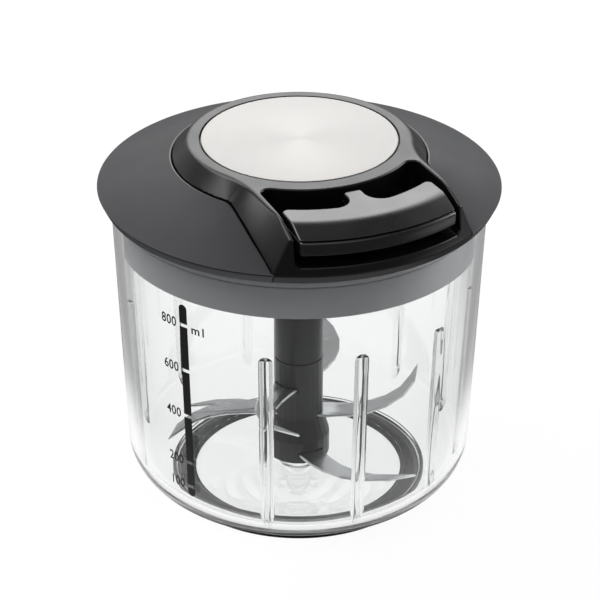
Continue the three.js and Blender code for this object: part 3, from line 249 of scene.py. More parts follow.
# Sizes of the handle
HANDLE_TOP_Z = 131.3
HANDLE_SPLIT_Z = 128.0
HANDLE_LOW_Z = 122.7
HANDLE_BACK = 51.0
HANDLE_ROLL = 60.5
HANDLE_ROLL_SOFT = 0.7
HANDLE_FRONT = 67.8
HANDLE_BULGE = 0.6
HANDLE_CURVE = 0.35
CURVE_HALF = 2.75
HANDLE_CREST = 0.6
HANDLE_BACK_HALF = 27.2
HANDLE_FRONT_HALF = 27.9
HANDLE_WIDEST = 61.8
HANDLE_CORNER = 2.2
HANDLE_WALL = 2.0
HANDLE_ROOF = 1.2
HANDLE_ROUND = 0.8
HANDLE_FRONT_ROUND = 1.0
HANDLE_INSET = 0.1
HANDLE_TIP_ROUND = 0.15
SPLIT_ROUND = 0.3
STEM_END = 41.2
STEM_HALF = 3.3
STEM_FILLET = 5.5
STEM_ROUND = 1.2
SCREW_REACH = 58.5
SCREW_X = 17.0
SCREW_BOSS = 3.0
SCREW_HEAD = 2.7
SCREW_HEAD_DEPTH = 1.9
SCREW_SKIN = 1.0
KNOT_U = 48.0
KNOT_RADIUS = 2.2
CORD_BORE = 1.1
CORD_BORE_U = 44.2
CORD_BORE_REACH = 4.0

# Boxes that the fields are meshed in, a little larger than the pieces, and the size of their steps.
NECK_BOX = (-44, -70, 112), (44, 44, 133)
NECK_STEP = 0.4
HANDLE_TOP_BOX = (-28, -69, 128), (28, -42, 132)
HANDLE_BASE_BOX = (-28, -69, 122), (28, -42, 129)
HANDLE_STEP = 0.25


# Mesh helpers


def placed(name, data):
    """An object for a mesh, text, lamp or camera, in the scene."""
    thing = bpy.data.objects.new(name, data)
    bpy.context.scene.collection.objects.link(thing)
    return thing


def mesh_object(name, points, faces, material):
    """An object from points in millimetres."""
    mesh = bpy.data.meshes.new(name)
    mesh.from_pydata((np.asarray(points, float) * MM).tolist(), [], [list(map(int, f)) for f in faces])
    mesh.validate()
    mesh.shade_smooth()
    mesh.materials.append(material)
    return placed(name, mesh)


def mesh_piece(name, points, faces, material, body, replaced=None, angle=None, normals=None):
    """An object that rides on a body and, where one is named, stands for a CAD node."""
    piece = mesh_object(name, points, faces, material)
    if angle is not None:
        piece.data.set_sharp_from_angle(angle=math.radians(angle))
    if normals is not None:
        piece.data.normals_split_custom_set_from_vertices(normals.tolist())
    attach(piece, body)
    if replaced:
        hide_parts(replaced)
    return piece


def clean(piece, angle):
    """Joins points that meet and turns the faces the same way."""
    made = bmesh.new()
    made.from_mesh(piece.data)
    bmesh.ops.remove_doubles(made, verts=made.verts, dist=1e-7)
    bmesh.ops.dissolve_degenerate(made, edges=made.edges, dist=1e-7)
    bmesh.ops.recalc_face_normals(made, faces=made.faces)
    made.to_mesh(piece.data)
    made.free()
    piece.data.shade_smooth()
    piece.data.set_sharp_from_angle(angle=math.radians(angle))


def rounded(profile, radius, steps=4, closed=True):
    """The profile with each corner rounded, as far as its neighbours leave room."""
    count = len(profile)
    out = []
    for i in range(count):
        point = np.array(profile[i], float)
        if not closed and i in (0, count - 1):
            out.append(point)
            continue
        before = np.array(profile[i - 1], float) - point
        after = np.array(profile[(i + 1) % count], float) - point
        a, b = np.linalg.norm(before), np.linalg.norm(after)
        before, after = before / a, after / b
        turn = math.acos(float(np.clip(before @ after, -1, 1)))
        if turn > STRAIGHT:
            out.append(point)
            continue
        reach = min(radius / math.tan(turn / 2), ROUND_SHARE * a, ROUND_SHARE * b)
        size = reach * math.tan(turn / 2)
        middle = (before + after) / np.linalg.norm(before + after)
        centre = point + middle * size / math.sin(turn / 2)
        start = point + before * reach - centre
        end = point + after * reach - centre
        sweep = math.pi - turn
        for k in range(steps + 1):
            share = k / steps
            arm = (math.sin((1 - share) * sweep) * start + math.sin(share * sweep) * end) / math.sin(sweep)
            out.append(centre + arm)
    return out


def lathe(profile, steps=192, closed=True):
    """Points and faces of a profile of (radius, height) turned about Z."""
    profile = np.array(profile, float)
    count = len(profile)
    turn = np.arange(steps) * 2 * math.pi / steps
    x = profile[None, :, 0] * np.sin(turn)[:, None]
    y = -profile[None, :, 0] * np.cos(turn)[:, None]
    z = np.broadcast_to(profile[None, :, 1], x.shape)
    points = np.stack([x, y, z], -1).reshape(-1, 3)
    faces = []
    last = count if closed else count - 1
    for i in range(steps):
        j = (i + 1) % steps
        for k in range(last):
            m = (k + 1) % count
            faces.append((i * count + k, j * count + k, j * count + m, i * count + m))
    if not closed:
        points, faces = pinch(points, faces, profile, count, steps)
    return points, faces


def around(radius, angle, z):
    """A point at a radius and an angle from the handle."""
    return radius * math.sin(angle), -radius * math.cos(angle), z


def ring_faces(rings, count, first=0):
    """Faces between rings of points that follow each other."""
    faces = []
    for low in range(first, first + (rings - 1) * count, count):
        for k in range(count):
            m = (k + 1) % count
            faces.append((low + k, low + count + k, low + count + m, low + m))
    return faces


def pinch(points, faces, profile, count, steps):
    """Joins the rings that lie on the axis to one point each."""
    swap = {}
    for k in (0, count - 1):
        if profile[k, 0] < 1e-9:
            for i in range(1, steps):
                swap[i * count + k] = k
    out = []
    for face in faces:
        face = [swap.get(p, p) for p in face]
        out.append([p for n, p in enumerate(face) if p != face[n - 1]])
    used = sorted({p for face in out for p in face})
    place = {p: n for n, p in enumerate(used)}
    return points[used], [[place[p] for p in face] for face in out]


def stair(radius, height, *values, up=False):
    """A profile of level and upright lines in turn, each to a new radius or height."""
    points = [(radius, height)]
    for value in values:
        radius, height = (radius, value) if up else (value, height)
        points.append((radius, height))
        up = not up
    return points


def turned(name, profile, material, body, replaced, steps=192, closed=True, angle=40):
    """A turned piece from its profile."""
    points, faces = lathe(profile, steps, closed)
    return mesh_piece(name, points, faces, material, body, replaced, angle)


# Fields: negative inside, near to a distance in millimetres


def cut(*fields):
    """What is inside all."""
    return functools.reduce(np.maximum, fields)


def join(*fields):
    """What is inside any."""
    return functools.reduce(np.minimum, fields)


def cut_round(a, b, radius):
    """What is inside both, with a rounded edge."""
    return join(cut(a, b), -radius) + np.hypot(cut(a + radius, 0), cut(b + radius, 0))


def cut_soft(a, b, width):
    """What is inside both, with an edge blended over a width."""
    share = cut(width - np.abs(a - b), 0) / width
    return cut(a, b) + share * share * width / 4


def field_mesh(field, low, high, step):
    """Points, faces and normals of the surface where the field is zero."""
    axes = [np.arange(a - step, b + 2 * step, step) for a, b in zip(low, high)]
    x, y, z = np.meshgrid(*axes, indexing="ij", sparse=True)
    values = np.array(np.broadcast_to(field(x, y, z), [len(a) for a in axes]), np.float32)
    grid = openvdb.FloatGrid(1000.0)
    grid.copyFromArray(values)
    points, quads = grid.convertToQuads(0.0)
    points = points.astype(float) * step + np.array([a[0] for a in axes])
    for _ in range(4):
        value, slope = field_slope(field, points)
        size = np.maximum((slope * slope).sum(1), 0.2)
        move = -slope * (value / size)[:, None]
        length = np.linalg.norm(move, axis=1)
        points += move * np.minimum(1, 0.4 * step / np.maximum(length, 1e-9))[:, None]
    slope = field_slope(field, points)[1]
    normals = slope / np.maximum(np.linalg.norm(slope, axis=1), 1e-9)[:, None]
    corner = points[quads[:, :3]]
    across = np.cross(corner[:, 1] - corner[:, 0], corner[:, 2] - corner[:, 0])
    if (across * normals[quads[:, 0]]).sum() < 0:
        quads = quads[:, ::-1]
    return points, quads, normals


def field_slope(field, points, reach=0.02):
    """The field and its slope at points, from its values a little to each side."""
    steps = np.eye(3) * reach
    rises = [field(*(points + step).T) - field(*(points - step).T) for step in steps]
    return field(*points.T), np.stack(rises, 1) / (2 * reach)


def shaped(name, field, low, high, step, material, body, replaced):
    """A piece from a field inside a box."""
    points, quads, normals = field_mesh(field, low, high, step)
    return mesh_piece(name, points, quads, material, body, replaced, None, normals)


# Materials. The helpers up to paths and node_material also serve the floor and the world.


def fill(tree, node, inputs):
    """Sets each input of a node to a value, or links it to a socket."""
    for name, value in inputs.items():
        if isinstance(value, bpy.types.NodeSocket):
            tree.links.new(value, node.inputs[name])
        else:
            node.inputs[name].default_value = value


def add(tree, kind, inputs, **settings):
    """A new node with its settings and inputs."""
    node = tree.nodes.new("ShaderNode" + kind)
    for name, value in settings.items():
        setattr(node, name, value)
    fill(tree, node, inputs)
    return node


def object_place(tree):
    """Where a point lies on its object, in metres."""
    return tree.nodes.new("ShaderNodeTexCoord").outputs["Object"]


def operate(tree, kind, first, second=0.0):
    """A sum or the like of two numbers, each a number or a socket."""
    return add(tree, "Math", {0: first, 1: second}, operation=kind).outputs["Value"]


def measured(tree, kind, vector, other=(0, 0, 0)):
    """A length, distance or dot product, of a vector alone or with a fixed one."""
    return add(tree, "VectorMath", {0: vector, 1: other}, operation=kind).outputs["Value"]


def mixed(tree, factor, low, high):
    """A number between two others, each a number or a socket."""
    return add(tree, "Mix", {"Factor": factor, "A": low, "B": high}).outputs["Result"]


def faded(tree, value, near, far, first, last, kind="SMOOTHSTEP"):
    """A number that goes from one level to another between two distances."""
    inputs = {"Value": value, "From Min": near, "From Max": far, "To Min": first, "To Max": last}
    return add(tree, "MapRange", inputs, interpolation_type=kind).outputs["Result"]


def paths(tree, *names):
    """1 for the named kinds of ray, else 0."""
    light = tree.nodes.new("ShaderNodeLightPath")
    total = light.outputs[names[0]]
    for name in names[1:]:
        total = operate(tree, "MAXIMUM", total, light.outputs[name])
    return total


def noise(tree, scale, detail=2.0, vector=None, roughness=0.5):
    if vector is None:
        vector = object_place(tree)
    inputs = {"Scale": scale, "Detail": detail, "Roughness": roughness, "Vector": vector}
    return add(tree, "TexNoise", inputs).outputs["Fac"]


def ramp(tree, value, low, high):
    """Maps a 0.3 to 0.7 noise to a span of numbers."""
    return faded(tree, value, 0.3, 0.7, low, high, "LINEAR")


def tinted(tree, value, dark, light):
    """A colour between two, by a noise."""
    inputs = {"Factor": ramp(tree, value, 0, 1), "A": (*dark, 1), "B": (*light, 1)}
    return add(tree, "Mix", inputs, data_type="RGBA").outputs["Result"]


def bump(tree, value, strength, distance):
    inputs = {"Height": value, "Strength": strength, "Distance": distance}
    return add(tree, "Bump", inputs).outputs["Normal"]


def node_material(name):
    """A new material with its node tree."""
    material = bpy.data.materials.new(name)
    material.use_nodes = True
    return material, material.node_tree


def surface(material, inputs):
    """The material with these inputs set on its shader."""
    fill(material.node_tree, material.node_tree.nodes["Principled BSDF"], inputs)
    return material


def plastic(name, color, roughness, grain=2600.0, depth=0.12, shine=0.5):
    """Moulded plastic: a fine grain and a faint change of tone and of gloss."""
    material, tree = node_material(name)
    dark, light = [c * (1 - TONE_SPREAD) for c in color], [min(1, c * (1 + TONE_SPREAD)) for c in color]
    gloss = ramp(tree, noise(tree, GLOSS_SCALE, 4.0), roughness - GLOSS_SPREAD, roughness + GLOSS_SPREAD)
    inputs = {
        "Base Color": tinted(tree, noise(tree, TONE_SCALE, 3.0), dark, light),
        "Roughness": gloss,
        "Specular IOR Level": shine,
    }
    if depth:
        inputs["Normal"] = bump(tree, noise(tree, grain, 1.0), depth, GRAIN_DEPTH)
    return surface(material, inputs)


def clear_plastic(name):
    """Clear moulded plastic with a trace of haze."""
    material, tree = node_material(name)
    inputs = {
        "Transmission Weight": 1.0,
        "IOR": 1.5,
        "Base Color": (0.985, 0.992, 0.99, 1),
        "Roughness": ramp(tree, noise(tree, HAZE_SCALE, 3.0), 0.0, 0.02),
    }
    return surface(material, inputs)


def metal(name, color, roughness):
    """Ground steel with fine lines along one direction."""
    material, tree = node_material(name)
    stretch = add(tree, "Mapping", {"Scale": STEEL_STRETCH, "Vector": object_place(tree)})
    lines = noise(tree, STEEL_SCALE, 4.0, stretch.outputs["Vector"], 0.7)
    inputs = {
        "Base Color": tinted(tree, lines, [c * 0.92 for c in color], color),
        "Roughness": ramp(tree, lines, roughness - 0.06, roughness + 0.06),
        "Metallic": 1.0,
        "Normal": bump(tree, lines, 0.1, 0.00003),
    }
    return surface(material, inputs)


def turned_steel(name, color, roughness):
    """Steel brushed in circles about the Z axis."""
    material, tree = node_material(name)
    split = add(tree, "SeparateXYZ", {"Vector": object_place(tree)})
    x, y = split.outputs["X"], split.outputs["Y"]
    radius = measured(tree, "LENGTH", add(tree, "CombineXYZ", {"X": x, "Y": y}).outputs["Vector"])
    polar = {"X": operate(tree, "MULTIPLY", radius, TURNED_SCALE), "Y": operate(tree, "ARCTAN2", y, x)}
    lines = noise(tree, 1.0, 3.0, add(tree, "CombineXYZ", polar).outputs["Vector"], 0.6)
    tangent = add(tree, "Tangent", {}, direction_type="RADIAL", axis="Z")
    inputs = {
        "Base Color": tinted(tree, lines, [c * 0.965 for c in color], color),
        "Roughness": ramp(tree, lines, roughness - 0.04, roughness + 0.04),
        "Metallic": 1.0,
        "Anisotropic": 0.2,
        "Tangent": tangent.outputs["Tangent"],
        "Normal": bump(tree, lines, 0.06, 0.00002),
    }
    return surface(material, inputs)


def braided(name, color):
    """A dull cord with a fine weave."""
    material, tree = node_material(name)
    weave = noise(tree, WEAVE_SCALE, 2.0)
    inputs = {
        "Base Color": tinted(tree, weave, color, [c * 1.8 for c in color]),
        "Roughness": 0.85,
        "Normal": bump(tree, weave, 0.4, 0.0002),
    }
    return surface(material, inputs)


def srgb(level, tint=(1, 1, 1)):
    """A linear colour from an 8-bit grey and a tint."""
    value = (level / 255) ** 2.2
    return [value * t for t in tint]


# How many times a pattern repeats in a metre, and how far it changes a tone, a gloss or a height.
TONE_SCALE, TONE_SPREAD = 38.0, 0.05
GLOSS_SCALE, GLOSS_SPREAD = 90.0, 0.03
GRAIN_DEPTH = 0.00004
HAZE_SCALE = 25.0
STEEL_SCALE, STEEL_STRETCH = 120.0, (1, 1, 60)
TURNED_SCALE = 5200.0
WEAVE_SCALE = 1800.0

# Name, colour, roughness, and for some the grain's repeats in a metre, its strength and the shine.
CLEAR = clear_plastic("clear_plastic")
RUBBER = plastic("soft_black", srgb(12), 0.75, 1500.0, 0.2, 0.12)
SATIN = plastic("dark_satin", srgb(66, (0.97, 0.98, 1.05)), 0.48, 3000.0, 0.15, 0.15)
GREY = plastic("grey_plastic", srgb(176, (0.97, 0.99, 1.04)), 0.42, 2600.0, 0.1, 0.4)
BLACK = plastic("black_gloss", srgb(15, (0.98, 0.99, 1.03)), 0.33, 3000.0, 0.1, 0.55)
GRIP = plastic("grip_black", srgb(18, (0.98, 0.99, 1.03)), 0.29, 3000.0, 0.08, 1.0)
SHAFT = plastic("shaft_plastic", srgb(12, (0.95, 1.0, 1.0)), 0.3, 2200.0, 0.08, 0.35)
HUB = plastic("hub_plastic", srgb(17, (0.96, 1.0, 1.0)), 0.33, 2200.0, 0.08, 0.45)
DISC_STEEL = turned_steel("brushed_steel", (0.45, 0.44, 0.43), 0.5)
BLADE_STEEL = metal("blade_steel", (0.86, 0.87, 0.88), 0.22)
SPRING_STEEL = metal("spring_steel", (0.5, 0.51, 0.52), 0.3)
BEARING = plastic("bearing", (0.7, 0.63, 0.5), 0.45)
INNER = plastic("inner_plastic", (0.72, 0.72, 0.69), 0.45)
SILICONE = plastic("silicone", srgb(96), 0.6, 2000.0, 0.1, 0.3)
CORD = braided("cord", (0.02, 0.02, 0.022))
PRINT = plastic("scale_print", srgb(34, (1.05, 0.98, 1.05)), 0.5, 3000.0, 0.0, 0.3)

CARRIED_NODES = [
    (HUB, ["blade_hub"]),
    (SHAFT, ["drive_spigot"]),
    (BLADE_STEEL, ["centre_pin", "blade_lower", "blade_middle", "blade_upper"]),
    (BEARING, ["pin_bush", "upper_bush", "lower_bush"]),
    (BLACK, ["cord_eyelet"]),
    (INNER, ["spring_cup", "spring_cover", "cord_drum"]),
    (SILICONE, ["shaft_seal"]),
    (SPRING_STEEL, ["return_spring", "drive_pin", "cup_screw_1", "cup_screw_2", "cup_screw_3"]),
    (SPRING_STEEL, ["handle_screw_1", "handle_screw_2"]),
    (CORD, ["cord_winding", "cord_knot"]),
]
for node_look, node_names in CARRIED_NODES:
    for node_name in node_names:
        NODES[node_name].data.materials.clear()
        NODES[node_name].data.materials.append(node_look)


# Bowl


def bowl_radius(z, inset=0.0):
    return BOWL_RADIUS - math.tan(BOWL_DRAFT) * (BOWL_HEIGHT - z) - inset


def heel_points(inset, floor_z, start_radius, steps):
    """The heel's quarter ellipse from a start radius up to the wall."""
    width = HEEL_WIDTH - inset
    centre = bowl_radius(HEEL_TOP_Z, inset) - width
    height = HEEL_TOP_Z - floor_z
    start = math.asin(min(1, max(0, (start_radius - centre) / width)))
    turn = np.linspace(start, math.pi / 2, steps + 1)
    return [(centre + width * math.sin(a), HEEL_TOP_Z - height * math.cos(a)) for a in turn]


def inner_radius(z):
    """Radius of the bowl's inside at one height."""
    if z >= HEEL_TOP_Z:
        return bowl_radius(z, BOWL_WALL)
    width, height = HEEL_WIDTH - BOWL_WALL, HEEL_TOP_Z - FLOOR_Z
    across = 1 - math.sqrt(1 - ((HEEL_TOP_Z - z) / height) ** 2)
    return bowl_radius(HEEL_TOP_Z, BOWL_WALL) - width * across


def rib_angles():
    return [RIB_FIRST + 360 / RIB_COUNT * i for i in range(RIB_COUNT) if i != RIB_SKIPPED]


def rib_height(across, above):
    """How far a rib stands out of the wall beside its middle line and above its straight part."""
    reach = np.hypot(across, np.maximum(above, 0))
    outer = math.sqrt((RIB_RADIUS + RIB_FILLET) ** 2 - RIB_FILLET**2)
    meet = outer * RIB_RADIUS / (RIB_RADIUS + RIB_FILLET)
    crown = np.sqrt(np.maximum(RIB_RADIUS**2 - np.minimum(reach, meet) ** 2, 0))
    inward = outer - np.clip(reach, meet, outer)
    flank = RIB_FILLET - np.sqrt(np.maximum(RIB_FILLET**2 - inward**2, 0))
    return np.where(reach < meet, crown, flank)


def rib_rows():
    """A rib's rows from its foot on the heel to its top: height, half width and the heel's reach."""
    reach = np.linspace(0, RIB_RADIUS + RIB_FILLET, 400)
    heights = [
        *np.linspace(RIB_FOOT_Z, RIB_CURVED_Z, 60),
        *np.linspace(RIB_PLAIN_Z, RIB_STRAIGHT_Z, 16),
        *np.linspace(RIB_STRAIGHT_Z, RIB_TOP_Z + RIB_OVERRUN, 40)[1:],
    ]
    rows = []
    for z in heights:
        sunk = bowl_radius(z, BOWL_WALL) - inner_radius(z)
        proud = reach[rib_height(reach, z - RIB_STRAIGHT_Z) > sunk + RIB_SKIN]
        if len(proud):
            rows.append((z, float(proud[-1]), sunk))
    return rows


def make_ribs():
    """The ribs, each a bar on the bowl's inside."""
    rows = rib_rows()
    share = np.sin(np.linspace(-1, 1, 19) * math.pi / 2)
    points, faces = [], []
    for middle in np.radians(rib_angles()):
        base = len(points)
        for z, half, sunk in rows:
            line = bowl_radius(z, BOWL_WALL)
            front = line - np.maximum(rib_height(half * share, z - RIB_STRAIGHT_Z), sunk + RIB_SKIN)
            back = np.full(len(share) - 2, line - sunk - RIB_SKIN / 2)
            radius = np.concatenate([front, back])
            angle = middle + np.concatenate([share, share[-2:0:-1]]) * half / line
            points += [around(r, a, z) for r, a in zip(radius, angle)]
        count = 2 * len(share) - 2
        last = base + (len(rows) - 1) * count
        faces += ring_faces(len(rows), count, base)
        faces += [range(base, base + count), range(last + count - 1, last - 1, -1)]
    ribs = mesh_piece("ribs", points, faces, CLEAR, "bowl_unit")
    clean(ribs, 50)
    ribs.visible_shadow = False


def make_bowl():
    """The bowl's wall with its keyed foot, rounded heel, lip and pin boss."""
    key = stair(0, FOOT_LIFT, KEY_INNER, KEY_TOP_Z, KEY_OUTER, FOOT_LIFT)
    outer_heel = heel_points(0, HEEL_BASE_Z, FOOT_RADIUS, 24)
    foot = [(KEY_OUTER + FOOT_ROUND, FOOT_LIFT), (FOOT_RADIUS, FOOT_LIFT), outer_heel[0]]
    lip = [
        (bowl_radius(BOWL_LIP_Z), BOWL_LIP_Z),
        (BOWL_RADIUS, BOWL_HEIGHT),
        (BOWL_RADIUS - BOWL_WALL, BOWL_HEIGHT),
        (bowl_radius(BOWL_LIP_Z, BOWL_WALL), BOWL_LIP_Z),
    ]
    inner_heel = heel_points(BOWL_WALL, FLOOR_Z, 0, 28)[::-1]
    bore = PIN_BOSS, PIN_BOSS_TOP_Z, PIN_BORE, PIN_BORE_LOW_Z, 0
    boss = stair(inner_heel[-1][0], FLOOR_Z, *bore)
    profile = [
        *rounded(key, FOOT_ROUND, 3, False)[:-1],
        (KEY_OUTER, FOOT_LIFT + KEY_CHAMFER),
        (KEY_OUTER + KEY_CHAMFER, FOOT_LIFT),
        *rounded(foot, FOOT_ROUND, 3, False)[1:-1],
        *outer_heel,
        *[(bowl_radius(z), z) for z in np.linspace(*BOWL_OUTER_RINGS)],
        *rounded(lip, BOWL_ROUND, 5, False),
        *[(bowl_radius(z, BOWL_WALL), z) for z in np.linspace(*BOWL_INNER_RINGS)],
        *inner_heel,
        *rounded(boss, BOWL_ROUND, 3, False)[1:],
    ]
    bowl = turned("bowl_wall", profile, CLEAR, "bowl_unit", "bowl", 288, False, 50)
    bowl.visible_shadow = False


# Printed scale


def on_bowl(x, y, depth):
    """A flat place, x along the wall and y up, laid on the bowl's outside."""
    radius = bowl_radius(y) + depth
    angle = x / SCALE_RADIUS
    return np.stack([radius * np.sin(angle), -radius * np.cos(angle), y], -1)


def bar_rows(start, end):
    """Heights and half widths of one length of the bar, round at the scale's two ends."""
    rows = [(z, BAR_HALF) for z in np.linspace(start, end, max(4, int((end - start) / BAR_STEP)))]
    if start == BAR_LOW_Z:
        turns = np.linspace(*BAR_LOW_TURNS)
        rows[:1] = [(start + BAR_HALF * (1 - math.cos(a)), BAR_HALF * math.sin(a) + BAR_TIP) for a in turns]
    if end == BAR_HIGH_Z:
        turns = np.linspace(*BAR_HIGH_TURNS)
        rows[-1:] = [(end - BAR_HALF * (1 - math.sin(a)), BAR_HALF * math.cos(a) + BAR_TIP) for a in turns]
    return rows


def print_bar():
    """The scale's bar, open at each mark."""
    cuts = sorted(SCALE_MARKS.values())
    starts = [BAR_LOW_Z, *[z + BAR_GAP for z in cuts]]
    ends = [*[z - BAR_GAP for z in cuts], BAR_HIGH_Z]
    shares = (-1, -0.5, 0, 0.5, 1)
    wide = len(shares)
    points, faces = [], []
    for start, end in zip(starts, ends):
        rows = bar_rows(start, end)
        first = len(points)
        for z, reach in rows:
            across = [BAR_TURN * SCALE_RADIUS + reach * share for share in shares]
            points += [on_bowl(x, z, PRINT_LIFT) for x in across]
            points += [on_bowl(x, z, PRINT_LIFT + PRINT_DEPTH) for x in reversed(across)]
        faces += ring_faces(len(rows), 2 * wide, first)
        last = len(points) - 2 * wide
        for k in range(wide - 1):
            m = 2 * wide - 1 - k
            faces.append((first + k, first + k + 1, first + m - 1, first + m))
            faces.append((last + m, last + m - 1, last + k + 1, last + k))
    mesh_piece("scale_bar", points, faces, PRINT, "bowl_unit", angle=30)


def print_text(name, text, size, turn, z, squeeze, align, spacing):
    """Letters on the bowl's outside, squeezed along the wall."""
    curve = bpy.data.curves.new(name, "FONT")
    curve.body = text
    curve.size = size
    curve.align_x = align
    curve.align_y = "CENTER"
    curve.extrude = PRINT_DEPTH / 2
    curve.space_character = spacing
    curve.offset = STROKE_GROW
    curve.resolution_u = 6
    flat = placed(name, curve)
    depsgraph = bpy.context.evaluated_depsgraph_get()
    mesh = bpy.data.meshes.new_from_object(flat.evaluated_get(depsgraph))
    bpy.data.objects.remove(flat)
    places = np.zeros(len(mesh.vertices) * 3)
    mesh.vertices.foreach_get("co", places)
    x, y, depth = places.reshape(-1, 3).T
    points = on_bowl(turn * SCALE_RADIUS + x * squeeze, z + y, depth + PRINT_LIFT + PRINT_DEPTH / 2)
    faces = [tuple(face.vertices) for face in mesh.polygons]
    bpy.data.meshes.remove(mesh)
    mesh_piece(name, points, faces, PRINT, "bowl_unit", angle=30)


def make_scale():
    print_bar()
    for text, z in SCALE_MARKS.items():
        looks = DIGIT_SQUEEZE, "RIGHT", DIGIT_SPACING
        print_text(f"scale_{text}", text, DIGIT_SIZE, DIGIT_TURN, z, *looks)
    print_text("scale_unit", "ml", UNIT_SIZE, UNIT_TURN, UNIT_Z, 1.0, "LEFT", UNIT_SPACING)


# Lid


def brim_z(radius):
    return COLLAR_FOOT_Z - (radius - COLLAR_RADIUS) * BRIM_SLOPE


def outline_radius(angle, radius, half, fillet):
    """Distance from the axis to the neck's outline in one direction."""
    centre_v = half + fillet
    centre_u = math.sqrt((radius + fillet) ** 2 - centre_v**2)
    if angle >= math.atan2(centre_v, centre_u):
        return radius
    along = centre_u * math.cos(angle) + centre_v * math.sin(angle)
    inside = along**2 - (centre_u**2 + centre_v**2 - fillet**2)
    arm = half / math.sin(angle)
    if arm * math.cos(angle) >= centre_u or inside < 0:
        return arm
    return along - math.sqrt(inside)


def brim_section(side):
    """The brim's section at one angle from the handle, and how many points its inner edge has."""
    gap = np.interp(side, TIP_TURNS, (BRIM_TIP_GAP, FIT))
    inner = outline_radius(side, COLLAR_RADIUS + gap, ARM_FOOT_HALF + gap, ARM_FOOT_FILLET - gap)
    drop = BRIM_WALL * math.hypot(1, BRIM_SLOPE)
    tuck, half = BRIM_RADIUS - BRIM_TUCK, BRIM_WALL / 2
    outer = inner + BRIM_INNER_BAND
    corner = [(inner, brim_z(inner) - drop), (inner, brim_z(inner)), (outer, brim_z(outer))]
    edge = rounded(corner, BRIM_INNER_ROUND, 6, False)[:-1]
    band = [
        *[(BRIM_RADIUS - inset, brim_z(BRIM_RADIUS - inset) - down) for inset, down in BRIM_CONE_STEPS],
        *[(BRIM_RADIUS - inset, BRIM_EDGE_Z - down) for inset, down in BRIM_EDGE_STEPS + BRIM_SKIRT_STEPS],
        *[(tuck - inset, BRIM_LOW_Z - down) for inset, down in BRIM_FOOT_STEPS],
        (tuck - BRIM_WALL, BRIM_LOW_Z),
        (tuck - half, brim_z(tuck - half) - drop),
    ]
    cut_z = BRIM_EDGE_Z - (BRIM_RADIUS - inner) * (BRIM_EDGE_Z - BRIM_LOW_Z) / BRIM_TUCK
    section = []
    for r, z in [*edge, *band]:
        section.append((min(r, BRIM_RADIUS), z) if r > inner else (inner, max(z, cut_z)))
    return section, len(edge)


def make_brim():
    """The cone-shaped brim around the neck, open where the arms run out to its edge."""
    start = math.asin((ARM_FOOT_HALF + BRIM_TIP_GAP) / BRIM_RADIUS)
    near, far = FILLET_TURNS
    stretches = [(start, near, 26), (near, far, 30), (far, math.pi, 74)]
    half_turn = [a for low, high, steps in stretches for a in np.linspace(low, high, steps)]
    angles = sorted(set(round(a, 7) for a in [*half_turn, *[2 * math.pi - a for a in half_turn]]))
    points = []
    for angle in angles:
        section, edge_count = brim_section(min(angle, 2 * math.pi - angle))
        points += [around(r, angle, z) for r, z in section]
    count = len(section)
    piece = mesh_piece("brim", points, ring_faces(len(angles), count), SATIN, "lid", "lid_brim")
    piece.data.materials.append(BLACK)
    for face in piece.data.polygons:
        face.material_index = int(face.index % count < edge_count - 1)
    clean(piece, 35)


def neck_side(u, v, z):
    """The neck's flanks, leaning in from the brim to the top."""
    foot_radius = np.maximum(COLLAR_RADIUS, np.hypot(np.maximum(u, 0), ARM_FOOT_HALF))
    foot_z = brim_z(foot_radius)
    rise = arm_top_z(u) - foot_z
    share = np.clip((z - foot_z) / rise, 0, FLANK_OVERRUN)
    radius = COLLAR_RADIUS + (COLLAR_TOP - COLLAR_RADIUS) * share
    half = ARM_FOOT_HALF + (ARM_TOP_HALF - ARM_FOOT_HALF) * share
    fillet = ARM_FOOT_FILLET + (ARM_TOP_FILLET - ARM_FOOT_FILLET) * share
    centre_v = half + fillet
    centre_u = np.sqrt((radius + fillet) ** 2 - centre_v**2)
    on_arm = u > centre_u
    on_collar = np.arctan2(v, u) > np.arctan2(centre_v, centre_u)
    flat = np.where(on_collar, np.hypot(u, v) - radius, fillet - np.hypot(u - centre_u, v - centre_v))
    flat = np.where(on_arm, v - half, flat)
    width = np.where(on_arm, ARM_FOOT_HALF - ARM_TOP_HALF, COLLAR_RADIUS - COLLAR_TOP)
    lean = np.where(z > foot_z, width / rise, 0)
    return flat / np.sqrt(1 + lean * lean)


def past(u, start, soft):
    """How far u is past a start, with a soft beginning."""
    blend = np.clip(u - start + soft, 0, 2 * soft)
    return blend * blend / (4 * soft) + np.maximum(u - start - soft, 0)


def arm_top_z(u):
    return TOP_Z - ARM_SLOPE * past(u, ARM_SLOPE_START, ARM_SIDE_SOFT)


def neck_top(u, z):
    """The flat top and the arms' slope toward the front."""
    fall = ARM_SLOPE * past(u, ARM_SLOPE_START, ARM_TOP_SOFT)
    lean = ARM_SLOPE * np.clip((u - ARM_SLOPE_START + ARM_TOP_SOFT) / (2 * ARM_TOP_SOFT), 0, 1)
    return (z - TOP_Z + fall) / np.hypot(1, lean)


def neck_front(r, z):
    """The front, tucked in below the brim's edge and leaning back above it."""
    low = BRIM_RADIUS - BRIM_TUCK * (BRIM_EDGE_Z - z) / (BRIM_EDGE_Z - BRIM_LOW_Z)
    high = BRIM_RADIUS - FRONT_LEAN * (z - BRIM_EDGE_Z)
    return cut_soft((r - low) * FRONT_TILT, r - high, FRONT_SOFT)


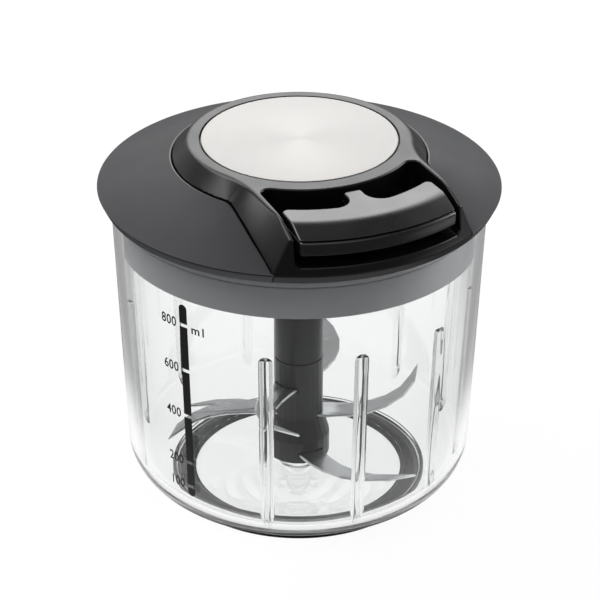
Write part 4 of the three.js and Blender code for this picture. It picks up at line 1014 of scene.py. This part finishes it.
def pocket(u, v, z, grow, floor_z):
    """The room that the handle lies in."""
    back = POCKET_BACK - grow
    half = POCKET_HALF + grow
    corner = POCKET_CORNER + grow
    centre_v = half - corner
    centre_u = math.sqrt((back + corner) ** 2 - centre_v**2)
    widening = (POCKET_END_HALF - POCKET_HALF) / (POCKET_END - centre_u)
    side = v - half - widening * np.maximum(u - centre_u, 0)
    square = cut(back - np.hypot(u, v), side)
    in_corner = (u < centre_u) & ((v - centre_v) * centre_u > (u - centre_u) * centre_v)
    flat = np.where(in_corner & (v > 0), np.hypot(u - centre_u, v - centre_v) - corner, square)
    below = floor_z - z
    return cut(flat, below, (flat + below + POCKET_CHAMFER) / math.sqrt(2))


POSTS = [around(POST_REACH, a, 0)[:2] for a in np.radians(POST_TURNS)]


def neck_hollow(x, y, z, side, top, front):
    """The room inside the neck, around the pocket, the posts and the bush's boss."""
    u, v, r = -y, np.abs(x), np.hypot(x, y)
    around = -pocket(u, v, z, POCKET_WALL, POCKET_FLOOR_Z - POCKET_WALL)
    hollow = cut(side + NECK_WALL, front + NECK_FRONT_WALL, z - CEILING_Z, top + NECK_ROOF, around)
    for px, py in POSTS:
        hollow = cut(hollow, join(POST_RADIUS - np.hypot(x - px, y - py), z - CUP_TOP_Z - FIT))
    return cut(hollow, join(BUSH_BOSS - r, z - BUSH_BOSS_LOW_Z))


def neck_bores(x, y, z):
    """The bores for the bush, the posts' screws and the cord."""
    bores = cut(np.hypot(x, y) - BUSH_BORE, np.abs(z - BUSH_Z) - BUSH_HALF)
    for px, py in POSTS:
        depth = np.abs(z - CUP_TOP_Z - POST_BORE_MIDDLE) - POST_BORE_HALF
        bores = join(bores, cut(np.hypot(x - px, y - py) - SCREW_BORE, depth))
    return join(bores, cut(np.hypot(x, z - CORD_Z) - MOUTH_BORE, np.abs(-y - MOUTH_U) - MOUTH_REACH))


def neck_field(x, y, z):
    """The neck: collar and arms around the pocket, hollow, with the disc's seat and two pads."""
    u, v, r = -y, np.abs(x), np.hypot(x, y)
    side, top, front = neck_side(u, v, z), neck_top(u, z), neck_front(r, z)
    shell = cut_round(cut_round(side, top, TOP_ROUND), front, FRONT_ROUND)
    shell = cut_round(shell, BRIM_LOW_Z - z, NECK_LOW_ROUND)
    shell = cut_round(shell, -pocket(u, v, z, 0, POCKET_FLOOR_Z), POCKET_ROUND)
    shell = cut_round(shell, -cut(r - DISC_RADIUS - FIT, DISC_SEAT_Z - z), DISC_SEAT_ROUND)
    rim_seat = cut(SEAT_INNER - r, r - BOWL_RADIUS - SEAT_GAP, z - SEAT_TOP_Z)
    rooms = join(neck_hollow(x, y, z, side, top, front), rim_seat, neck_bores(x, y, z))
    half_v, half_u, half_z = PAD_HALVES
    pads = cut(np.abs(v - PAD_V) - half_v, np.abs(u - PAD_U) - half_u, np.abs(z - PAD_Z) - half_z)
    return join(cut(shell, -rooms), pads)


def handle_plan(u, v, r):
    """The bar's curved back with its stem and corners, seen from above."""
    fillet_v = STEM_HALF + STEM_FILLET
    fillet_u = math.sqrt((HANDLE_BACK - STEM_FILLET) ** 2 - fillet_v**2)
    stem = cut_round(v - STEM_HALF, STEM_END - u, STEM_ROUND)
    in_fillet = (u > fillet_u) & (v < fillet_v)
    arc = STEM_FILLET - np.hypot(u - fillet_u, v - fillet_v)
    bar = np.where(in_fillet, arc, join(HANDLE_BACK - r, stem))
    corner_v = HANDLE_BACK_HALF - HANDLE_CORNER
    corner_u = math.sqrt((HANDLE_BACK + HANDLE_CORNER) ** 2 - corner_v**2)
    widening = (HANDLE_FRONT_HALF - HANDLE_BACK_HALF) / (HANDLE_WIDEST - corner_u)
    side = v - HANDLE_BACK_HALF - widening * np.maximum(u - corner_u, 0)
    in_corner = (u < corner_u) & ((v - corner_v) * corner_u > (u - corner_u) * corner_v)
    corner = np.hypot(u - corner_u, v - corner_v) - HANDLE_CORNER
    return np.where(in_corner, corner, cut(bar, side))


def handle_cuts(x, y, z, hollow):
    """The handle's hollow around its screws, with the bores of screws, knot and cord."""
    screw_u = math.sqrt(SCREW_REACH**2 - SCREW_X**2)
    screw = np.hypot(np.abs(x) - SCREW_X, -y - screw_u)
    bore = cut(screw - SCREW_BORE, z - HANDLE_TOP_Z + SCREW_SKIN)
    head = cut(screw - SCREW_HEAD, z - HANDLE_LOW_Z - SCREW_HEAD_DEPTH)
    knot = np.sqrt(x * x + (y + KNOT_U) ** 2 + (z - CORD_Z) ** 2) - KNOT_RADIUS
    cord = cut(np.hypot(x, z - CORD_Z) - CORD_BORE, np.abs(-y - CORD_BORE_U) - CORD_BORE_REACH)
    return join(cut(hollow, SCREW_BOSS - screw), bore, head, knot, cord)


def handle_top_field(x, y, z):
    """The upper shell: a flat crown that rolls over to a straight slope in front."""
    u, v, r = -y, np.abs(x), np.hypot(x, y)
    plan = handle_plan(u, v, r)
    run, fall = HANDLE_FRONT - HANDLE_ROLL, HANDLE_TOP_Z - HANDLE_SPLIT_Z
    slope = ((r - HANDLE_ROLL) * fall + (z - HANDLE_TOP_Z) * run) / math.hypot(run, fall)
    crown = cut_soft(z - HANDLE_TOP_Z, slope, HANDLE_ROLL_SOFT)
    outer = cut_round(plan, crown, HANDLE_ROUND)
    outer = cut_round(outer, r - HANDLE_FRONT + HANDLE_INSET, HANDLE_TIP_ROUND)
    outer = cut_round(outer, HANDLE_SPLIT_Z - z, SPLIT_ROUND)
    hollow = cut(plan + HANDLE_WALL, crown + HANDLE_ROOF)
    return cut(outer, -handle_cuts(x, y, z, hollow))


def handle_base_field(x, y, z):
    """The lower shell: a band with a bulging front."""
    u, v, r = -y, np.abs(x), np.hypot(x, y)
    plan = handle_plan(u, v, r)
    top = HANDLE_SPLIT_Z - FIT
    middle = (top + HANDLE_LOW_Z) / 2
    share = (z - middle - HANDLE_CREST) / CURVE_HALF
    front = r - HANDLE_FRONT - HANDLE_BULGE + HANDLE_CURVE * share**2
    outer = cut_round(plan, front, HANDLE_FRONT_ROUND)
    outer = cut_round(outer, z - top, HANDLE_ROUND)
    outer = cut_round(outer, HANDLE_LOW_Z - z, HANDLE_ROUND)
    hollow = cut(cut(plan, front) + HANDLE_WALL, HANDLE_LOW_Z + HANDLE_WALL - z)
    return cut(outer, -handle_cuts(x, y, z, hollow))


def plug_point(z, inset=0.0):
    """A point of the plug's outside, or further in, at one height."""
    return bowl_radius(z, BOWL_WALL + PLUG_FIT + inset), z


def make_plug():
    """The plug: a skirt with the seal's groove and a flange, a floor, a stand and a boss."""
    skirt = [
        (SPIGOT_BORE, PLUG_FLOOR_Z),
        plug_point(PLUG_FLOOR_Z, PLUG_WALL),
        plug_point(PLUG_LOW_Z, PLUG_WALL),
        plug_point(PLUG_LOW_Z),
        plug_point(GROOVE_LOW_Z),
        plug_point(GROOVE_LOW_Z, GROOVE_DEPTH),
        plug_point(GROOVE_TOP_Z, GROOVE_DEPTH),
        plug_point(GROOVE_TOP_Z),
        plug_point(PLUG_SEAT_Z),
        (PLUG_FLANGE, PLUG_SEAT_Z),
        (PLUG_FLANGE, PLUG_TOP_Z),
        (plug_point(PLUG_SEAT_Z, PLUG_WALL)[0], PLUG_TOP_Z),
        plug_point(PLUG_INSIDE_Z, PLUG_WALL),
    ]
    stand = stair(STAND_RADIUS, PLUG_INSIDE_Z, STAND_TOP_Z, STAND_RADIUS - PLUG_WALL, up=True)
    boss = BOSS_RADIUS, BOSS_TOP_Z, BOSS_BORE, BOSS_STEP_Z, SPIGOT_BORE
    middle = stand + stair(STAND_RADIUS - PLUG_WALL, PLUG_INSIDE_Z, *boss)
    turned("plug", rounded(skirt + middle, PLUG_ROUND), GREY, "lid", "lid_plug")


def make_seal():
    low, high = GROOVE_LOW_Z + FIT, GROOVE_TOP_Z - FIT
    profile = [
        plug_point(low, SEAL_DEPTH),
        plug_point(low),
        plug_point((low + high) / 2, -SEAL_CROWN),
        plug_point(high),
        plug_point(high, SEAL_DEPTH),
    ]
    turned("seal_ring", rounded(profile, SEAL_ROUND), GREY, "lid", "lid_seal")


def make_disc():
    low = TOP_Z - DISC_DEPTH
    edge = DISC_RADIUS - DISC_GAP
    profile = rounded(stair(0, low, edge, TOP_Z, 0), DISC_ROUND, 4, False)
    turned("disc", profile, DISC_STEEL, "lid", "steel_disc", closed=False)


def make_ring():
    """The soft ring with the key that grips the foot's groove."""
    top = FOOT_LIFT - FIT
    key_top = KEY_TOP_Z - FIT
    key = KEY_OUTER - FIT, key_top, KEY_INNER + FIT, top, RING_INNER
    profile = stair(RING_INNER, 0, FOOT_RADIUS, top, *key)
    turned("foot_ring", rounded(profile, RING_ROUND), RUBBER, "bowl_unit", "base_ring")


def make_shaft():
    """The shaft's tube, narrowed at its top to a socket for the spigot."""
    tube = stair(SHAFT_BORE, SHAFT_LOW_Z, SHAFT_RADIUS, SHAFT_TOP_Z, SOCKET_BORE, SOCKET_LOW_Z)
    tube.append((SHAFT_BORE, SOCKET_CONE_Z))
    turned("shaft_tube", rounded(tube, SHAFT_ROUND), SHAFT, "blade_unit", "blade_shaft", 96)


def make_neck():
    shaped("neck", neck_field, *NECK_BOX, NECK_STEP, BLACK, "lid", "neck_housing")


def make_handle():
    body = "pull_handle"
    shaped("grip_top", handle_top_field, *HANDLE_TOP_BOX, HANDLE_STEP, GRIP, body, "handle_top")
    shaped("grip_base", handle_base_field, *HANDLE_BASE_BOX, HANDLE_STEP, GRIP, body, "handle_base")


def make_cord():
    """The cord from the winding through the eyelet to the knot."""
    lean = math.acos(CORD_LEAVE_U / CORD_MOUTH_U)
    start = Vector(around(CORD_LEAVE_U, lean, CORD_Z))
    mouth = Vector((0, -CORD_MOUTH_U, CORD_Z))
    route = [start.lerp(mouth, t) for t in np.linspace(0, CORD_BEND_SHARE, 16)]
    ends = CORD_MOUTH_U + CORD_MOUTH_GAP, CORD_END_U
    route += [Vector((0, -u, CORD_Z)) for u in np.linspace(*ends, 40)]
    points = []
    for i, place in enumerate(route):
        along = (route[min(i + 1, len(route) - 1)] - route[max(i - 1, 0)]).normalized()
        across = along.cross(Vector((0, 0, 1))).normalized()
        up = across.cross(along)
        for k in range(CORD_SIDES):
            turn = 2 * math.pi * k / CORD_SIDES
            offset = across * math.cos(turn) + up * math.sin(turn)
            points.append(place + offset * CORD_RADIUS)
    last = len(points) - CORD_SIDES
    faces = [*ring_faces(len(route), CORD_SIDES), range(CORD_SIDES), range(len(points) - 1, last - 1, -1)]
    piece = mesh_object("cord_line", points, faces, CORD)
    clean(piece, 60)
    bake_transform(piece)
    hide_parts("pull_cord")


make_bowl()
make_ribs()
make_scale()
make_ring()
make_shaft()
make_plug()
make_seal()
make_brim()
make_disc()
make_neck()
make_handle()
make_cord()


# Floor, light and camera

# Places and distances are in metres, but lens, sensor and FLOOR_REACH in millimetres. What floor and
# world give off is a share of full brightness. Front and right are level, as the photo sees the object.
PHOTO_TURN = math.radians(-24.5)
PHOTO_RISE = math.radians(29.03)
PHOTO_ROLL = math.radians(0.26)
PHOTO_FRONT = around(1, PHOTO_TURN, 0)
PHOTO_RIGHT = (math.cos(PHOTO_TURN), math.sin(PHOTO_TURN), 0)
CAMERA_DISTANCE = 0.901
CAMERA_LENS = 154.08
CAMERA_SENSOR = 36.0
CAMERA_CLIP = (0.01, 50)
AIM_Z = 0.06952
AIM_RIGHT = 0.00041
FLOOR_REACH = 8000.0
FLOOR_WHITE = 0.93
FLOOR_SPAN = (0.1, 0.16)
FLOOR_FRONT = 0.03
FLOOR_STRETCH = 0.33
FLOOR_SIDE = 1.4
FLOOR_DIM = 0.4
FLOOR_GLOW = 0.9
# The floor's glow in reflections: bright near the foot, a painted pool of light around PATCH, and a painted
# shadow under the heel.
FOOT_SPAN = (0.075, 0.12)
HEEL_SHADOW_SPAN = (0.05, 0.058)
SIDE_SPAN = (0.02, 0.12)
SIDE_BRIGHT = 0.12
SIDE_DIM = 0.1
PATCH = (0.27, -0.16, 0)
PATCH_SPAN = (0.06, 0.16)
PATCH_BRIGHT = 0.7
WORLD_MIRRORED = 0.1
WORLD_THROUGH = 0.3
WORLD_BRIGHT = 0.7
WORLD_FILL = 0.5
WORLD_REAR_SPAN = (-0.9, -0.5)
MAX_BOUNCES = 24
GLOSSY_BOUNCES = 16
# Name, place, aim, size and power of each lamp.
LAMPS = [
    ("rear_box", (0.48, 1.05, 0.84), (0, 0, 0.1), (1.4, 0.7), 8.6),
    ("key_box", (-0.55, 0.6, 1.25), (0, 0, 0.08), (0.8, 0.6), 6),
    ("side_box", (1.1, -0.15, 0.46), (0, 0, 0.1), (0.35, 0.9), 7),
    ("top_box", (-0.15, -0.5, 1.15), (0, 0, 0.1), (0.9, 0.7), 1.5),
    ("left_box", (-0.95, 0.27, 0.9), (0, 0, 0.12), (0.35, 0.45), 1.9),
    ("low_box", (-0.8, 1.05, 0.27), (0, 0, 0.12), (0.4, 0.3), 1.2),
]


def floor_seen(tree, spot):
    """The floor as the glass shows it: bright under and behind the object, dimmer away from it."""
    front = measured(tree, "DOT_PRODUCT", spot, PHOTO_FRONT)
    side = operate(tree, "ABSOLUTE", measured(tree, "DOT_PRODUCT", spot, PHOTO_RIGHT))
    side = operate(tree, "MULTIPLY", side, FLOOR_SIDE)
    behind = operate(tree, "MULTIPLY", front, -FLOOR_STRETCH)
    before = operate(tree, "ADD", front, FLOOR_FRONT)
    off = operate(tree, "MAXIMUM", operate(tree, "MAXIMUM", before, behind), side)
    return faded(tree, off, *FLOOR_SPAN, 1.0, FLOOR_DIM)


def floor_mirrored(tree, spot):
    """The floor in reflections: bright around the foot, a painted pool of light to the right, a painted
    shadow under the heel.
    """
    front = measured(tree, "DOT_PRODUCT", spot, PHOTO_FRONT)
    reach = measured(tree, "LENGTH", spot)
    foot = faded(tree, reach, *FOOT_SPAN, 1.0, SIDE_DIM)
    # A painted shadow on the floor under the heel, dark in reflections.
    heel_shadow = faded(tree, reach, *HEEL_SHADOW_SPAN, 0.0, 1.0)
    # A painted pool of light on the floor to the right, standing in for a lamp.
    light_patch = faded(tree, measured(tree, "DISTANCE", spot, PATCH), *PATCH_SPAN, PATCH_BRIGHT, SIDE_DIM)
    beside = faded(tree, front, *SIDE_SPAN, SIDE_BRIGHT, SIDE_DIM)
    mirrored = operate(tree, "MAXIMUM", operate(tree, "MAXIMUM", foot, light_patch), beside)
    return operate(tree, "MULTIPLY", mirrored, heel_shadow)


def make_floor():
    """Mostly glow for the camera and the glass, all glow in reflections, and lit white for other light."""
    material, tree = node_material("floor_white")
    tree.nodes.clear()
    spot = object_place(tree)
    through = paths(tree, "Is Transmission Ray")
    dim = mixed(tree, through, floor_mirrored(tree, spot), floor_seen(tree, spot))
    glow = add(tree, "Emission", {"Strength": mixed(tree, paths(tree, "Is Camera Ray"), dim, 1.0)})
    diffuse = add(tree, "BsdfDiffuse", {"Color": (FLOOR_WHITE, FLOOR_WHITE, FLOOR_WHITE, 1)})
    shaded = paths(tree, "Is Camera Ray", "Is Transmission Ray")
    seen = paths(tree, "Is Camera Ray", "Is Glossy Ray", "Is Transmission Ray")
    share = mixed(tree, seen, 0.0, mixed(tree, shaded, 1.0, FLOOR_GLOW))
    mix = add(tree, "MixShader", {"Fac": share, 1: diffuse.outputs["BSDF"], 2: glow.outputs["Emission"]})
    add(tree, "OutputMaterial", {"Surface": mix.outputs["Shader"]})
    corners = [(-1, -1), (1, -1), (1, 1), (-1, 1)]
    points = [(x * FLOOR_REACH, y * FLOOR_REACH, 0) for x, y in corners]
    floor = mesh_object("floor", points, [(0, 1, 2, 3)], material)


def make_world():
    """White for the camera, dim through glass, bright behind the object in reflections, else even."""
    world = bpy.data.worlds.new("studio")
    bpy.context.scene.world = world
    world.use_nodes = True
    tree = world.node_tree
    toward = tree.nodes.new("ShaderNodeTexCoord").outputs["Generated"]
    front = measured(tree, "DOT_PRODUCT", toward, PHOTO_FRONT)
    rear = faded(tree, front, *WORLD_REAR_SPAN, WORLD_BRIGHT, WORLD_MIRRORED)
    strength = mixed(tree, paths(tree, "Is Glossy Ray"), WORLD_FILL, rear)
    strength = mixed(tree, paths(tree, "Is Transmission Ray"), strength, WORLD_THROUGH)
    strength = mixed(tree, paths(tree, "Is Camera Ray"), strength, 1.0)
    fill(tree, tree.nodes["Background"], {"Color": (1, 1, 1, 1), "Strength": strength})


def area_light(name, place, aim, size, power):
    """A soft box that the glass doesn't show."""
    light = bpy.data.lights.new(name, "AREA")
    light.shape = "RECTANGLE"
    light.size, light.size_y = size
    light.energy = power
    lamp = placed(name, light)
    lamp.location = place
    toward = Vector(aim) - Vector(place)
    lamp.rotation_mode = "QUATERNION"
    lamp.rotation_quaternion = toward.to_track_quat("-Z", "Y")
    lamp.visible_transmission = False


def make_camera():
    """The photo's camera, level but for a slight roll."""
    data = bpy.data.cameras.new("camera")
    camera = placed("camera", data)
    bpy.context.scene.camera = camera
    data.sensor_width = CAMERA_SENSOR
    data.lens = CAMERA_LENS
    data.clip_start, data.clip_end = CAMERA_CLIP
    back = Vector(PHOTO_FRONT) * math.cos(PHOTO_RISE) + Vector((0, 0, math.sin(PHOTO_RISE)))
    camera.location = Vector((0, 0, AIM_Z)) + Vector(PHOTO_RIGHT) * AIM_RIGHT + back * CAMERA_DISTANCE
    camera.rotation_mode = "QUATERNION"
    level = (-back).to_track_quat("-Z", "Y")
    camera.rotation_quaternion = level @ Quaternion((0, 0, 1), PHOTO_ROLL)


make_floor()
make_world()
for lamp_values in LAMPS:
    area_light(*lamp_values)
make_camera()

# Light inside the bowl's wall and floor needs more bounces than Blender's default.
bounces = bpy.context.scene.cycles
bounces.max_bounces = MAX_BOUNCES
bounces.transmission_bounces = MAX_BOUNCES
bounces.glossy_bounces = GLOSSY_BOUNCES
view = bpy.context.scene.view_settings
view.view_transform = "Standard"
